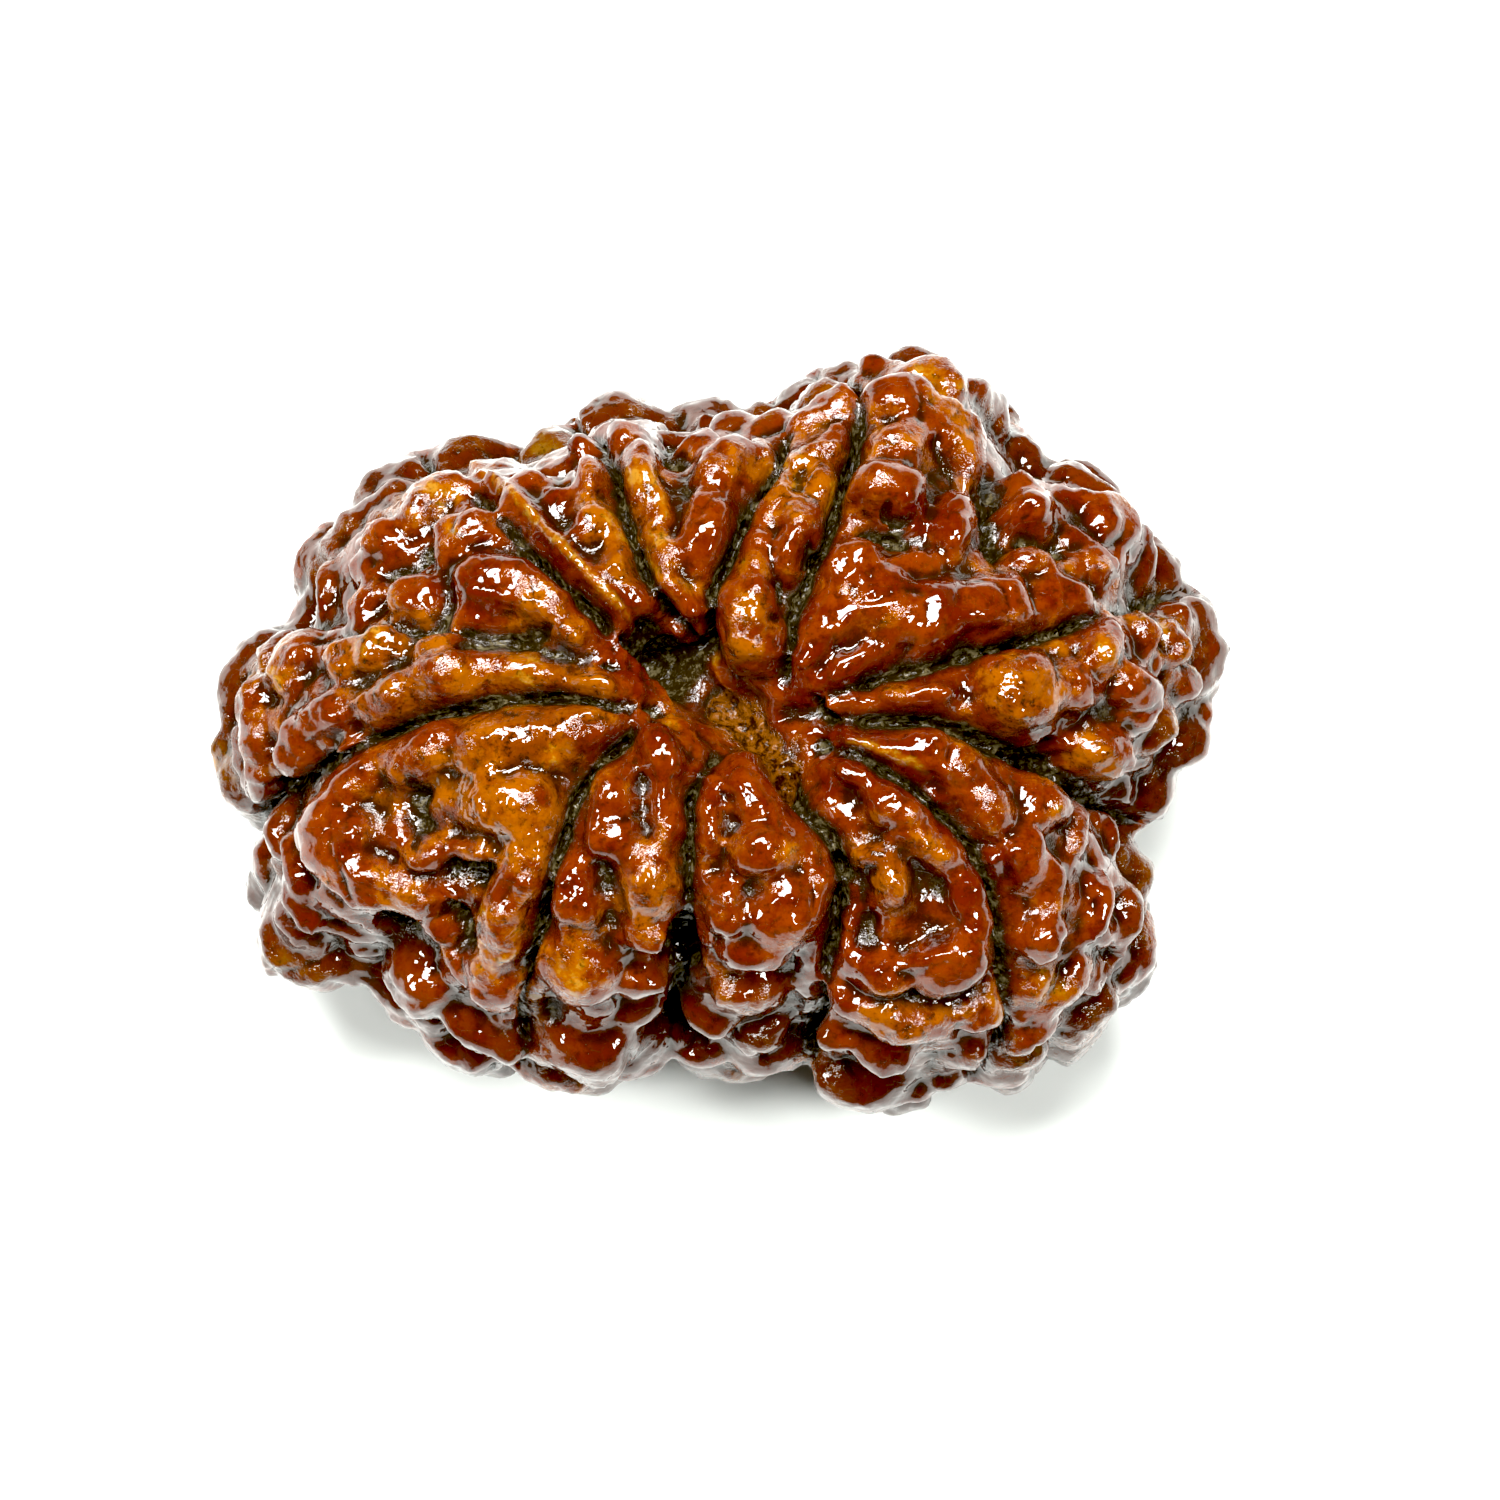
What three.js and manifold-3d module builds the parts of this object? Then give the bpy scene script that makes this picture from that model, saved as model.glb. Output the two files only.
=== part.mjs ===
// A rudraksha bead, the one-piece stone of a berry, of the kind with a trunk-like bulge on one side.
// The bead lies on its stalk end. Twelve suture lines run from the pit at the top, over the rim and
// round to the stalk end, and part the stone into ribs that are covered with lumps and knobs.
// Millimetres, +Z up, origin at the centre of the flat spot that the bead rests on.

import * as THREE from "three";
import { mergeVertices } from "three/addons/utils/BufferGeometryUtils.js";
import Module from "manifold-3d";

const wasm = await Module();
wasm.setup();

// Driving dimensions of the stone under its lumps.
const heightAbove = 8.3; // from the widest level up to the top face
const heightBelow = 8.0; // from the widest level down to the stalk end
const wornAway = 0.3; // what the flat spot has taken off the stalk end
const widestLevel = heightBelow - wornAway;
const roundnessAbove = 3.0; // 2 is an ellipse, more is flatter with a tighter rim
const roundnessBelow = 2.1;
const evenLength = 13.6; // half-widths of the even body that the net is laid on
const evenWidth = 10.6;
const dipsFrom = 0.45; // the outline's dips fade out from the rim to this share of the way in
const netDetail = 23; // the net has 20 * (netDetail + 1)^2 faces
const netShareBelow = 0.5; // how close the net lies below the rim, where above it is 1
const softness = 0.25; // how far each net point goes to the middle of its neighbours at the end
const relief = 1.0; // how much of their laid-out rise the upper lumps keep

// Half-widths of the stone under its lumps, as [degrees from +X, radius]. Each dip is a suture line or a
// notch between two ribs, and the long reach from 48 to 68 degrees is the trunk-like bulge.
const outline = [
  [0, 13.8], [7, 14.3], [13, 14.1], [16.5, 13.1], [21, 13.8], [29, 13.5], [35, 12.9], [39, 11.6],
  [46, 12.1], [53, 12.8], [61, 12.3], [68, 11.6], [71.5, 10.3], [76, 9.7], [82, 8.5], [90, 8.6],
  [96, 8.2], [104, 9.3], [112, 9.8], [118, 9.4], [126, 9.1], [134, 10.7], [142, 11.7], [150, 12.4],
  [158, 12.6], [166, 12.0], [172, 13.6], [181, 14.1], [187, 14.0], [192, 13.1], [198, 14.0], [206, 14.1],
  [212, 13.1], [217, 11.9], [224, 12.1], [232, 11.8], [237, 11.8], [241, 10.7], [248, 10.9], [255, 9.5],
  [262, 7.5], [269, 9.2], [276, 9.5], [283, 8.9], [290, 11.0], [300, 12.2], [306, 12.7], [314, 13.5],
  [322, 13.7], [330, 13.9], [337, 13.4], [344, 12.0], [348, 11.5], [354, 13.0],
];

// The pit round the pole at the top: a slanting cleft.
const pit = { x: 0.3, y: -0.5, turn: -42, halfLength: 2.7, halfWidth: 1.25, depth: 2.6 };

// Lumps and sutures of the upper side are laid out as they are seen from a little in front of the axis:
// across is X, and up is what the eye takes for Y from this elevation.
const seenFrom = THREE.MathUtils.degToRad(80);
const seenDistance = 312.5;

// Lumps as [across, up, length, width, turn in degrees from +X, and rise where it isn't the usual one].
const lumps = [
  // The rib left of the first suture.
  [-8.4, 6.9, 2.2, 1.3, 55], [-7.1, 5.9, 2.5, 1.5, 25, 1.2], [-6.4, 4.3, 2.6, 1.9, -5, 1.3],
  [-5.2, 3.9, 2.0, 1.6, -35, 1.2], [-4.5, 3.0, 1.3, 1.1, -20], [-8.9, 3.9, 1.6, 1.5, 0, 1.1],
  [-9.9, 5.6, 1.2, 1.1, -10, 1.0], [-9.9, 7.0, 1.5, 1.0, 45], [-9.2, 7.9, 1.5, 1.0, 15],
  [-11.3, 6.2, 1.5, 1.2, 25, 1.0], [-11.6, 4.9, 1.4, 1.0, -65], [-12.2, 4.3, 2.0, 1.0, 80],
  [-10.7, 4.7, 1.0, 0.7, -30], [-10.4, 3.8, 1.6, 1.0, 85], [-11.5, 3.5, 1.4, 0.9, 50],
  [-7.4, 3.3, 1.2, 0.8, 10],
  // The narrow rib with a thin crest beside the first suture.
  [-6.9, 7.3, 1.7, 0.8, -30], [-5.9, 6.5, 1.7, 0.7, -45], [-4.9, 5.5, 1.9, 0.7, -42],
  [-3.8, 4.5, 1.9, 0.7, -42], [-2.9, 3.4, 1.8, 0.8, -50], [-8.1, 8.3, 1.4, 0.9, 0],
  [-7.2, 8.0, 1.2, 0.8, -40], [-6.0, 8.1, 1.7, 0.7, -8], [-5.6, 7.2, 1.1, 0.9, 60],
  [-4.6, 6.8, 1.2, 0.9, -30, 0.6], [-4.8, 8.8, 1.8, 1.2, 72, 1.0], [-3.95, 8.5, 1.0, 0.8, 80],
  [-3.7, 7.3, 1.8, 0.9, 95, 1.0], [-3.8, 6.0, 1.4, 1.1, 70], [-3.0, 5.6, 1.5, 0.8, 105],
  [-3.1, 4.8, 1.2, 0.8, -50], [-2.1, 3.8, 1.7, 0.7, -35], [-1.2, 2.9, 1.4, 0.5, -42],
  // The rib above the pit.
  [-3.2, 9.5, 1.7, 1.2, 25, 1.0], [-2.0, 9.4, 1.7, 1.2, -40], [-2.7, 8.7, 1.3, 0.9, -25],
  [-2.3, 7.5, 2.4, 1.2, 97, 1.1], [-1.9, 6.1, 1.6, 0.9, 100], [-1.6, 5.1, 1.1, 0.9, 60],
  [-1.2, 4.0, 1.9, 1.0, 118], [0.2, 7.8, 2.0, 1.4, 68, 1.2], [-0.35, 5.9, 2.5, 1.4, 82, 1.2],
  [-0.5, 8.5, 1.3, 0.9, 30], [-0.1, 9.2, 0.9, 0.8, 0], [0.8, 9.0, 1.6, 0.7, -15],
  [1.3, 8.2, 1.2, 0.8, -20], [1.7, 9.1, 1.3, 0.8, 20],
  // The rib left of the trunk.
  [1.0, 3.2, 2.7, 1.9, 100, 1.1], [1.2, 4.6, 1.3, 0.9, 100], [1.2, 5.7, 1.3, 0.7, 95],
  [1.7, 7.0, 1.7, 0.9, 60], [2.4, 5.7, 2.5, 1.2, 75, 1.0], [2.8, 6.8, 1.3, 0.8, 80],
  [3.2, 7.4, 1.1, 0.8, 70], [3.6, 8.5, 1.5, 0.9, 62], [2.6, 8.1, 1.6, 0.8, 22],
  [2.8, 9.1, 1.9, 0.8, 38], [3.7, 9.8, 1.5, 1.0, 45], [3.4, 10.4, 1.5, 1.1, 25], [2.6, 9.9, 1.1, 0.7, 75],
  // The trunk and the rib that it grows from.
  [5.4, 9.5, 2.4, 1.7, 5, 1.5], [6.7, 8.8, 2.2, 1.7, -25, 1.4], [5.4, 8.3, 2.0, 1.5, 20, 1.1],
  [5.0, 6.9, 2.3, 1.7, -12, 1.8], [7.4, 7.6, 1.9, 1.0, 100, 1.2], [7.0, 6.0, 2.2, 1.1, 75, 1.2],
  [4.9, 10.7, 1.2, 0.8, 10], [6.4, 10.3, 1.9, 1.0, -38, 1.2], [5.2, 11.2, 1.8, 0.9, 5],
  [6.5, 11.2, 1.6, 0.8, -15], [7.6, 10.9, 1.5, 0.8, -10], [8.1, 10.3, 1.5, 0.9, 25],
  [8.1, 9.4, 1.3, 0.9, -60, 1.0], [8.8, 9.5, 2.2, 0.9, -70], [8.7, 8.5, 1.5, 0.7, -60],
  [9.6, 7.7, 1.6, 0.7, -38], [9.0, 7.2, 2.0, 0.8, -42], [9.4, 6.4, 1.4, 0.9, 10], [10.5, 7.0, 1.2, 0.8, -10],
  [11.4, 7.5, 1.9, 1.0, -5], [12.4, 6.9, 1.8, 0.9, -55], [11.6, 6.2, 2.0, 1.5, 25, 1.1],
  [13.0, 5.9, 1.7, 0.8, -50], [13.6, 4.9, 1.2, 0.9, -60], [12.7, 4.8, 1.4, 0.8, -65],
  [11.5, 4.7, 1.4, 1.0, -50], [9.5, 5.1, 1.3, 1.0, 10, 0.5], [4.0, 4.8, 1.9, 1.5, 35, 1.2],
  [3.6, 3.6, 2.8, 1.5, 48, 1.0], [5.0, 3.9, 2.4, 1.7, 30, 1.0], [5.8, 4.8, 1.7, 0.8, 5],
  [6.4, 3.4, 2.4, 1.7, 25, 1.1], [8.3, 3.7, 2.7, 1.6, 12, 1.1], [10.2, 3.9, 2.2, 1.2, 10],
  [4.2, 2.0, 2.0, 0.7, 22], [5.0, 2.8, 1.2, 0.7, 10], [2.7, 2.4, 1.2, 0.7, 50],
  // The rib to the right.
  [6.1, 1.0, 2.2, 0.7, 8], [9.0, 1.2, 2.5, 2.3, 10, 1.4], [10.6, 1.3, 1.5, 1.4, 0, 0.9],
  [11.4, 2.5, 1.7, 1.1, 62, 1.1], [12.3, 1.1, 2.4, 1.4, -25, 1.2], [11.4, -0.7, 1.8, 1.3, -8, 1.1],
  [13.1, -0.2, 1.4, 0.8, 30], [12.8, 2.9, 1.1, 0.8, -50], [13.6, 2.6, 1.2, 0.9, -40],
  [14.0, 3.4, 1.2, 0.9, -35], [14.4, 2.2, 1.9, 0.8, -80], [13.9, 1.4, 1.0, 0.8, 20],
  [14.0, 0.5, 1.1, 0.8, 60], [13.7, -0.6, 1.6, 0.8, -75], [13.0, -1.5, 1.7, 0.9, -62],
  [12.6, -2.3, 1.3, 0.8, 20],
  // The rib below it, down to the suture at the lower right.
  [4.8, -0.4, 2.4, 0.7, -12], [6.8, -0.9, 2.6, 1.5, -28, 1.1], [8.0, -2.2, 1.9, 1.3, -62, 1.1],
  [9.7, -2.1, 1.8, 1.3, 10, 1.1], [10.7, -3.0, 1.4, 0.9, 80], [9.2, -3.9, 2.0, 1.5, -50, 1.1],
  [9.9, -4.9, 1.6, 1.0, -75], [9.6, -6.1, 1.6, 1.3, 80, 1.2], [11.3, -5.3, 1.9, 0.9, -65],
  [12.2, -5.2, 1.2, 1.0, 10], [12.4, -4.2, 1.6, 0.8, -60], [12.8, -6.0, 1.7, 0.8, -88],
  [11.8, -7.2, 1.4, 0.9, 30], [10.5, -7.5, 1.6, 1.1, 50], [9.3, -8.9, 1.7, 1.0, 78],
  [9.5, -7.6, 1.2, 0.8, 60], [10.7, -8.9, 1.7, 0.8, 38], [9.2, -10.2, 1.9, 0.9, 22], [12.0, -3.5, 1.2, 0.8, -70],
  // The rib left of the suture at the lower right.
  [5.6, -2.4, 2.4, 1.7, -45, 1.2], [6.6, -3.5, 2.0, 1.5, -35, 1.1], [7.6, -4.9, 2.5, 1.3, -80, 1.1],
  [7.0, -6.9, 2.2, 1.7, 20, 1.3], [5.0, -4.4, 1.9, 1.3, -65], [4.2, -1.2, 1.5, 0.8, -30],
  [5.0, -7.3, 1.4, 1.1, 0], [5.8, -8.6, 2.1, 1.3, -22, 1.2], [7.9, -8.3, 1.4, 1.1, 20],
  [7.7, -9.6, 1.4, 1.1, 15], [6.6, -10.5, 1.5, 1.0, -30], [4.9, -9.6, 1.4, 1.1, 10],
  [4.7, -10.7, 1.0, 0.8, 0], [3.8, -10.6, 1.5, 1.1, -65, 1.0], [5.5, -10.9, 1.1, 0.9, 0],
  [3.8, -9.2, 1.6, 0.8, -22], [4.2, -8.3, 1.4, 0.9, -40], [7.7, -10.8, 1.4, 0.8, 12],
  // The rib with the hanging lobe, at the front.
  [1.0, -1.9, 2.6, 1.4, -62, 0.9], [1.4, -3.6, 2.0, 1.4, 10, 1.3], [-0.3, -2.7, 2.5, 0.8, 90],
  [2.0, -5.4, 2.4, 2.0, 55, 1.5], [0.2, -5.2, 1.8, 1.2, 92, 1.2], [2.7, -3.8, 2.2, 1.0, -62],
  [1.1, -6.4, 2.0, 1.1, -15, 1.3], [0.9, -7.8, 1.9, 1.1, 5, 1.1], [2.0, -8.6, 1.4, 1.0, 62],
  [0.3, -9.4, 1.5, 0.8, -80], [1.3, -9.9, 1.3, 1.0, 40], [-0.5, -8.4, 1.5, 0.7, -60],
  // The rib left of it.
  [-3.2, -2.5, 2.8, 1.5, 82, 1.1], [-1.7, -0.7, 2.1, 1.2, -62, 1.0], [-1.5, -2.7, 2.3, 0.9, -88],
  [-2.0, -4.6, 2.1, 1.6, -80, 1.1], [-2.2, -5.9, 1.3, 1.1, 0, 1.2], [-4.4, -4.9, 2.4, 1.5, 98, 1.1],
  [-4.2, -6.9, 2.4, 2.0, 100, 1.4], [-2.2, -7.4, 1.6, 0.9, -10], [-4.3, -9.4, 2.5, 1.8, -8, 1.2],
  [-2.4, -8.3, 1.4, 0.8, 20],
  // The broad rib at the left.
  [-4.4, -0.1, 2.6, 1.5, 12, 1.0], [-6.6, -0.4, 2.8, 1.6, 12, 1.1], [-8.8, -0.7, 2.5, 1.4, 25, 1.1],
  [-10.8, -1.6, 2.6, 1.5, 30, 1.2], [-6.2, -2.2, 2.9, 1.9, -10, 1.3], [-5.6, -3.9, 2.4, 1.4, 72, 1.2],
  [-6.3, -5.6, 2.5, 1.4, 76, 1.2], [-6.6, -7.4, 2.1, 1.5, 80, 1.2], [-7.2, -3.6, 1.1, 0.9, 0],
  [-11.4, -3.2, 2.4, 2.2, -30, 1.3], [-10.5, -4.4, 1.9, 1.5, -30, 1.1], [-8.7, -3.7, 1.3, 1.1, 0],
  [-8.9, -4.9, 1.6, 1.2, -30], [-8.1, -6.0, 1.5, 0.8, -62], [-8.9, -7.4, 2.0, 1.6, -20, 1.3],
  [-7.6, -7.0, 1.3, 0.7, -30], [-13.8, -3.5, 1.6, 0.9, 78], [-12.6, -4.1, 1.8, 0.7, -65],
  [-13.5, -5.1, 1.4, 0.9, -60], [-12.5, -5.4, 1.5, 0.7, -15], [-12.1, -6.3, 2.2, 1.3, -12, 1.1],
  [-13.2, -6.2, 1.5, 0.9, -55], [-10.9, -6.6, 1.5, 1.0, 10], [-9.0, -8.9, 1.4, 0.9, -20],
  [-7.2, -8.8, 2.0, 1.4, -28, 1.1], [-7.0, -10.0, 1.6, 0.9, -25], [-10.1, -7.9, 1.6, 0.8, -62],
  [-12.9, -2.7, 1.5, 0.9, -55],
  // The rib above it.
  [-8.0, 1.5, 2.2, 1.5, 12, 1.1], [-9.8, 0.9, 2.2, 1.3, 28, 1.1], [-6.0, 1.7, 2.6, 0.9, -12],
  [-8.2, 2.4, 1.8, 0.8, -5], [-3.8, 1.2, 1.4, 0.8, 10], [-10.7, 2.2, 2.5, 1.2, 8, 1.0],
  [-12.7, 2.0, 1.8, 1.3, 40, 1.0], [-11.6, 0.4, 2.0, 1.2, 15, 1.0], [-12.5, -0.5, 1.8, 1.1, 55, 1.0],
  [-13.7, 0.3, 2.2, 1.2, 85, 1.0], [-14.2, 1.5, 2.2, 1.0, 72], [-13.6, -1.5, 1.4, 1.0, 50],
  [-14.3, -0.8, 1.8, 0.9, 85], [-14.1, -2.0, 1.1, 0.8, -60], [-13.7, 2.4, 1.3, 0.8, 25],
];

// Suture lines of the upper side, each from the pit out to the rim, laid out as the lumps are.
const sutures = [
  [[-1.0, 1.6], [-2.6, 2.6], [-3.6, 3.5], [-4.8, 4.5], [-5.8, 5.5], [-6.9, 6.7], [-7.9, 7.6], [-8.7, 8.1]],
  [[-0.4, 2.2], [-1.1, 3.2], [-1.9, 4.2], [-2.3, 5.1], [-2.8, 6.6], [-3.1, 7.8], [-3.6, 8.8], [-4.0, 9.3]],
  [[-0.2, 2.1], [-0.3, 3.2], [-0.1, 4.2], [0.3, 5.1], [0.7, 6.0], [1.1, 6.9], [1.8, 7.8], [2.0, 8.8]],
  [[1.9, 1.5], [2.2, 2.7], [2.4, 3.6], [2.7, 4.5], [3.2, 5.4], [3.6, 6.8], [4.1, 8.2], [4.3, 9.4], [4.1, 10.5]],
  [[2.8, 0.8], [4.6, 1.5], [6.5, 2.0], [8.1, 2.4], [9.6, 2.8], [11.0, 3.3], [12.2, 3.8], [13.5, 4.0]],
  [[2.9, 0.3], [4.8, 0.3], [6.6, 0.3], [8.2, -0.4], [9.6, -1.0], [10.8, -1.7], [11.6, -2.7]],
  [[2.8, -0.5], [4.3, -0.8], [5.6, -1.6], [6.8, -2.6], [7.7, -3.6], [8.2, -4.8], [8.5, -6.2], [8.7, -7.6], [8.5, -9.2], [8.0, -10.3]],
  [[1.9, -1.2], [2.6, -2.2], [3.5, -3.3], [3.9, -4.6], [3.6, -5.9], [3.3, -7.1], [3.0, -8.4], [2.6, -9.1]],
  [[0.1, -0.7], [-0.5, -1.4], [-0.8, -2.3], [-0.8, -3.6], [-0.9, -5.0], [-0.9, -6.4], [-1.1, -7.6]],
  [[-1.5, 0.4], [-2.8, -0.3], [-3.7, -1.2], [-4.3, -2.2], [-4.7, -3.6], [-5.1, -5.2], [-5.6, -6.8], [-5.8, -8.2], [-5.8, -9.5]],
  [[-1.5, 0.8], [-3.0, 0.7], [-4.8, 1.0], [-6.4, 0.9], [-7.9, 0.6], [-9.2, 0.2], [-10.5, -0.4], [-11.7, -1.1], [-12.9, -1.8], [-13.8, -2.4]],
  [[-1.6, 1.4], [-3.3, 1.9], [-5.0, 2.3], [-6.4, 2.8], [-7.9, 2.9], [-9.5, 3.0], [-10.9, 2.9], [-12.0, 2.7]],
];
const sutureCut = { width: 0.42, depth: 0.8 };
const sutureValley = { width: 1.0, depth: 0.35 };
const sutureStrength = [1, 1, 1, 1, 1, 1.4, 1, 1.2, 0.8, 0.9, 1, 0.5]; // two gape and one is faint
const drawnIn = 0.7; // net points this near a suture are drawn in towards it

// Small hollows and gaps of the upper side: from across, up to across, up, half-width and depth.
const hollows = [
  [-0.9, 1.4, -2.2, 3.2, 0.6, 1.6], [2.0, 0.4, 2.4, 0.4, 0.3, 0.6], [2.1, -1.2, 2.5, -1.6, 0.3, 0.7],
  [-9.0, -2.0, -9.0, -3.0, 0.45, 0.9], [-7.7, -4.3, -7.1, -4.3, 0.45, 0.8], [-9.9, -5.9, -9.3, -5.9, 0.45, 1.1],
  [-7.8, -5.3, -7.6, -6.3, 0.3, 0.7], [-12.9, -4.2, -12.9, -4.8, 0.35, 0.8], [11.7, -6.7, 11.7, -6.9, 0.35, 0.8],
  [13.4, 1.7, 13.4, 1.5, 0.25, 0.6], [-1.4, -6.3, -1.2, -7.0, 0.5, 1.4], [4.6, 5.9, 5.6, 5.9, 0.3, 0.9],
  [4.3, -4.4, 4.5, -6.2, 0.45, 0.8], [-1.4, 8.2, -1.2, 9.4, 0.45, 0.9], [8.2, 7.0, 8.4, 5.6, 0.4, 0.7],
  [-9.0, 5.2, -9.8, 4.8, 0.45, 0.8], [-10.1, 6.3, -10.3, 6.4, 0.35, 0.8], [10.0, -0.7, 10.2, -1.2, 0.45, 0.8],
];

// Lumps of the lower side follow a rule: rows round the bead, from below the rim to near the stalk end.
const lowerRows = 8;
const firstRowTilt = 92; // degrees from the top pole
const lastRowTilt = 158;
const lowerSpacing = 2.5;
const lowerLump = { length: 2.7, width: 1.9, rise: 1.0 };
const rimTilts = [70, 100]; // lumps laid out past the upper skin's edge are spread between these
const seed = 4.7;

const rad = THREE.MathUtils.degToRad;

// A repeatable random number from 0 to 1 for draw number n.
function draw(n) {
  const s = Math.sin(n * 12.9898 + seed) * 43758.5453;
  return s - Math.floor(s);
}

// The outline's radius at an angle in radians: a smooth closed curve through its points.
function outlineRadius(angle) {
  const degrees = ((THREE.MathUtils.radToDeg(angle) % 360) + 360) % 360;
  const count = outline.length;
  let i = count - 1;
  while (i > 0 && outline[i][0] > degrees) i -= 1;
  const before = outline[i];
  const after = outline[(i + 1) % count];
  const span = (after[0] - before[0] + 360) % 360;
  const t = (degrees - before[0]) / span;
  const ease = t * t * (3 - 2 * t);
  return before[1] + (after[1] - before[1]) * ease;
}

function pitDepthAt(x, y) {
  const along = (x - pit.x) * Math.cos(rad(pit.turn)) + (y - pit.y) * Math.sin(rad(pit.turn));
  const aside = (y - pit.y) * Math.cos(rad(pit.turn)) - (x - pit.x) * Math.sin(rad(pit.turn));
  return pit.depth * Math.exp(-((along / pit.halfLength) ** 2) - (aside / pit.halfWidth) ** 2);
}

// How far out of the stone's axis a place is, from 0 at the axis to 1 at the rim.
function reach(x, y) {
  const even = Math.hypot(x / evenLength, y / evenWidth);
  if (even < dipsFrom) return even;
  const distance = Math.hypot(x, y);
  const nearRim = THREE.MathUtils.smoothstep(even, dipsFrom, 1);
  return distance / THREE.MathUtils.lerp(distance / even, outlineRadius(Math.atan2(y, x)), nearRim);
}

function topHeight(x, y) {
  const share = Math.min(reach(x, y), 1);
  return widestLevel + heightAbove * Math.sqrt(1 - share ** roundnessAbove) - pitDepthAt(x, y);
}

// 1 on the stone's skin, less inside it and more outside.
function level(x, y, z) {
  const above = z > widestLevel;
  const height = above ? heightAbove : heightBelow;
  const lifted = above ? z + pitDepthAt(x, y) : z;
  return reach(x, y) ** (above ? roundnessAbove : roundnessBelow) + ((lifted - widestLevel) / height) ** 2;
}

function skinNormal(p) {
  const step = 0.25;
  return new THREE.Vector3(
    level(p.x + step, p.y, p.z) - level(p.x - step, p.y, p.z),
    level(p.x, p.y + step, p.z) - level(p.x, p.y - step, p.z),
    level(p.x, p.y, p.z + step) - level(p.x, p.y, p.z - step),
  ).normalize();
}

// The even body under the skin, an oval one with no dips: its point and outward direction by the angle
// round the axis and the tilt from the top pole.
function evenPoint(angle, tilt) {
  const above = tilt < Math.PI / 2;
  const roundness = above ? roundnessAbove : roundnessBelow;
  const height = above ? heightAbove : heightBelow;
  const share = Math.sin(tilt) ** (2 / roundness);
  const point = new THREE.Vector3(
    share * evenLength * Math.cos(angle),
    share * evenWidth * Math.sin(angle),
    widestLevel + height * Math.cos(tilt),
  );
  const flatness = roundness * share ** (roundness - 2);
  const outward = new THREE.Vector3(
    (flatness * point.x) / evenLength ** 2,
    (flatness * point.y) / evenWidth ** 2,
    (2 * (point.z - widestLevel)) / height ** 2,
  ).normalize();
  return { point, outward };
}

// How far the skin lies from a point of the even body, along its outward direction.
function skinOffset(point, outward) {
  let low = -4.5;
  let high = 3.5;
  for (let i = 0; i < 22; i += 1) {
    const middle = (low + high) / 2;
    const p = point.clone().addScaledVector(outward, middle);
    if (level(p.x, p.y, p.z) > 1) high = middle;
    else low = middle;
  }
  return (low + high) / 2;
}

function skinPoint(angle, tilt) {
  const { point, outward } = evenPoint(angle, tilt);
  return point.addScaledVector(outward, skinOffset(point, outward));
}

// The place on the upper skin that is seen at [across, up]. One past its edge goes to the rim, as high
// or low there as the number from 0 to 1 says.
function seenPlace(across, up, rimShare = 0.5) {
  const edge = 0.985;
  let pastEdge = false;
  let x = across;
  let y = up;
  let z = widestLevel;
  for (let i = 0; i < 40; i += 1) {
    const nearer = (z - widestLevel) * Math.sin(seenFrom) - y * Math.cos(seenFrom);
    const shrink = 1 - nearer / seenDistance;
    x = across * shrink;
    y = y * 0.5 + ((up * shrink - (z - widestLevel) * Math.cos(seenFrom)) / Math.sin(seenFrom)) * 0.5;
    const share = reach(x, y);
    pastEdge = share > edge;
    if (pastEdge) {
      x *= edge / share;
      y *= edge / share;
    }
    z = topHeight(x, y);
  }
  if (pastEdge) {
    const tilt = rimTilts[0] + (rimTilts[1] - rimTilts[0]) * rimShare;
    return skinPoint(Math.atan2(y / evenWidth, x / evenLength), rad(tilt));
  }
  return new THREE.Vector3(x, y, z);
}

// One lump: a rounded knob with its root sunk into the skin. Its matrix takes places to a unit ball.
function makeLump(place, normal, length, width, turn, rise) {
  const showing = 0.65; // the share of the knob's half-height that stands out of the skin
  const half = rise / showing;
  const spread = 1 / Math.sqrt(1 - (1 - showing) ** 2);
  const steep = 1 + 0.25 * (1 - Math.max(normal.z, 0));
  const along = new THREE.Vector3(Math.cos(turn), Math.sin(turn), 0);
  along.addScaledVector(normal, -along.dot(normal)).normalize();
  const aside = new THREE.Vector3().crossVectors(normal, along);
  const shape = new THREE.Matrix4().makeBasis(
    along.multiplyScalar((length / 2) * spread * steep),
    aside.multiplyScalar((width / 2) * spread * steep),
    normal.clone().multiplyScalar(half),
  );
  const centre = place.clone().addScaledVector(normal, rise - half);
  shape.setPosition(centre);
  return { toBall: shape.invert(), centre, size: Math.max(length, width, half) * 1.1 };
}

function upperLumps() {
  return lumps.map(([across, up, length, width, turn, rise], i) => {
    const place = seenPlace(across, up, draw(i));
    const height = relief * Math.min(rise ?? 0.25 + width * 0.55, width * 0.75);
    return makeLump(place, skinNormal(place), length, width, rad(turn), height);
  });
}

// Where a suture crosses the rim, as an angle round the axis.
function sutureAngle(line) {
  const end = seenPlace(...line.at(-1));
  const angle = Math.atan2(end.y / evenWidth, end.x / evenLength);
  return angle < 0 ? angle + 2 * Math.PI : angle;
}

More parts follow.
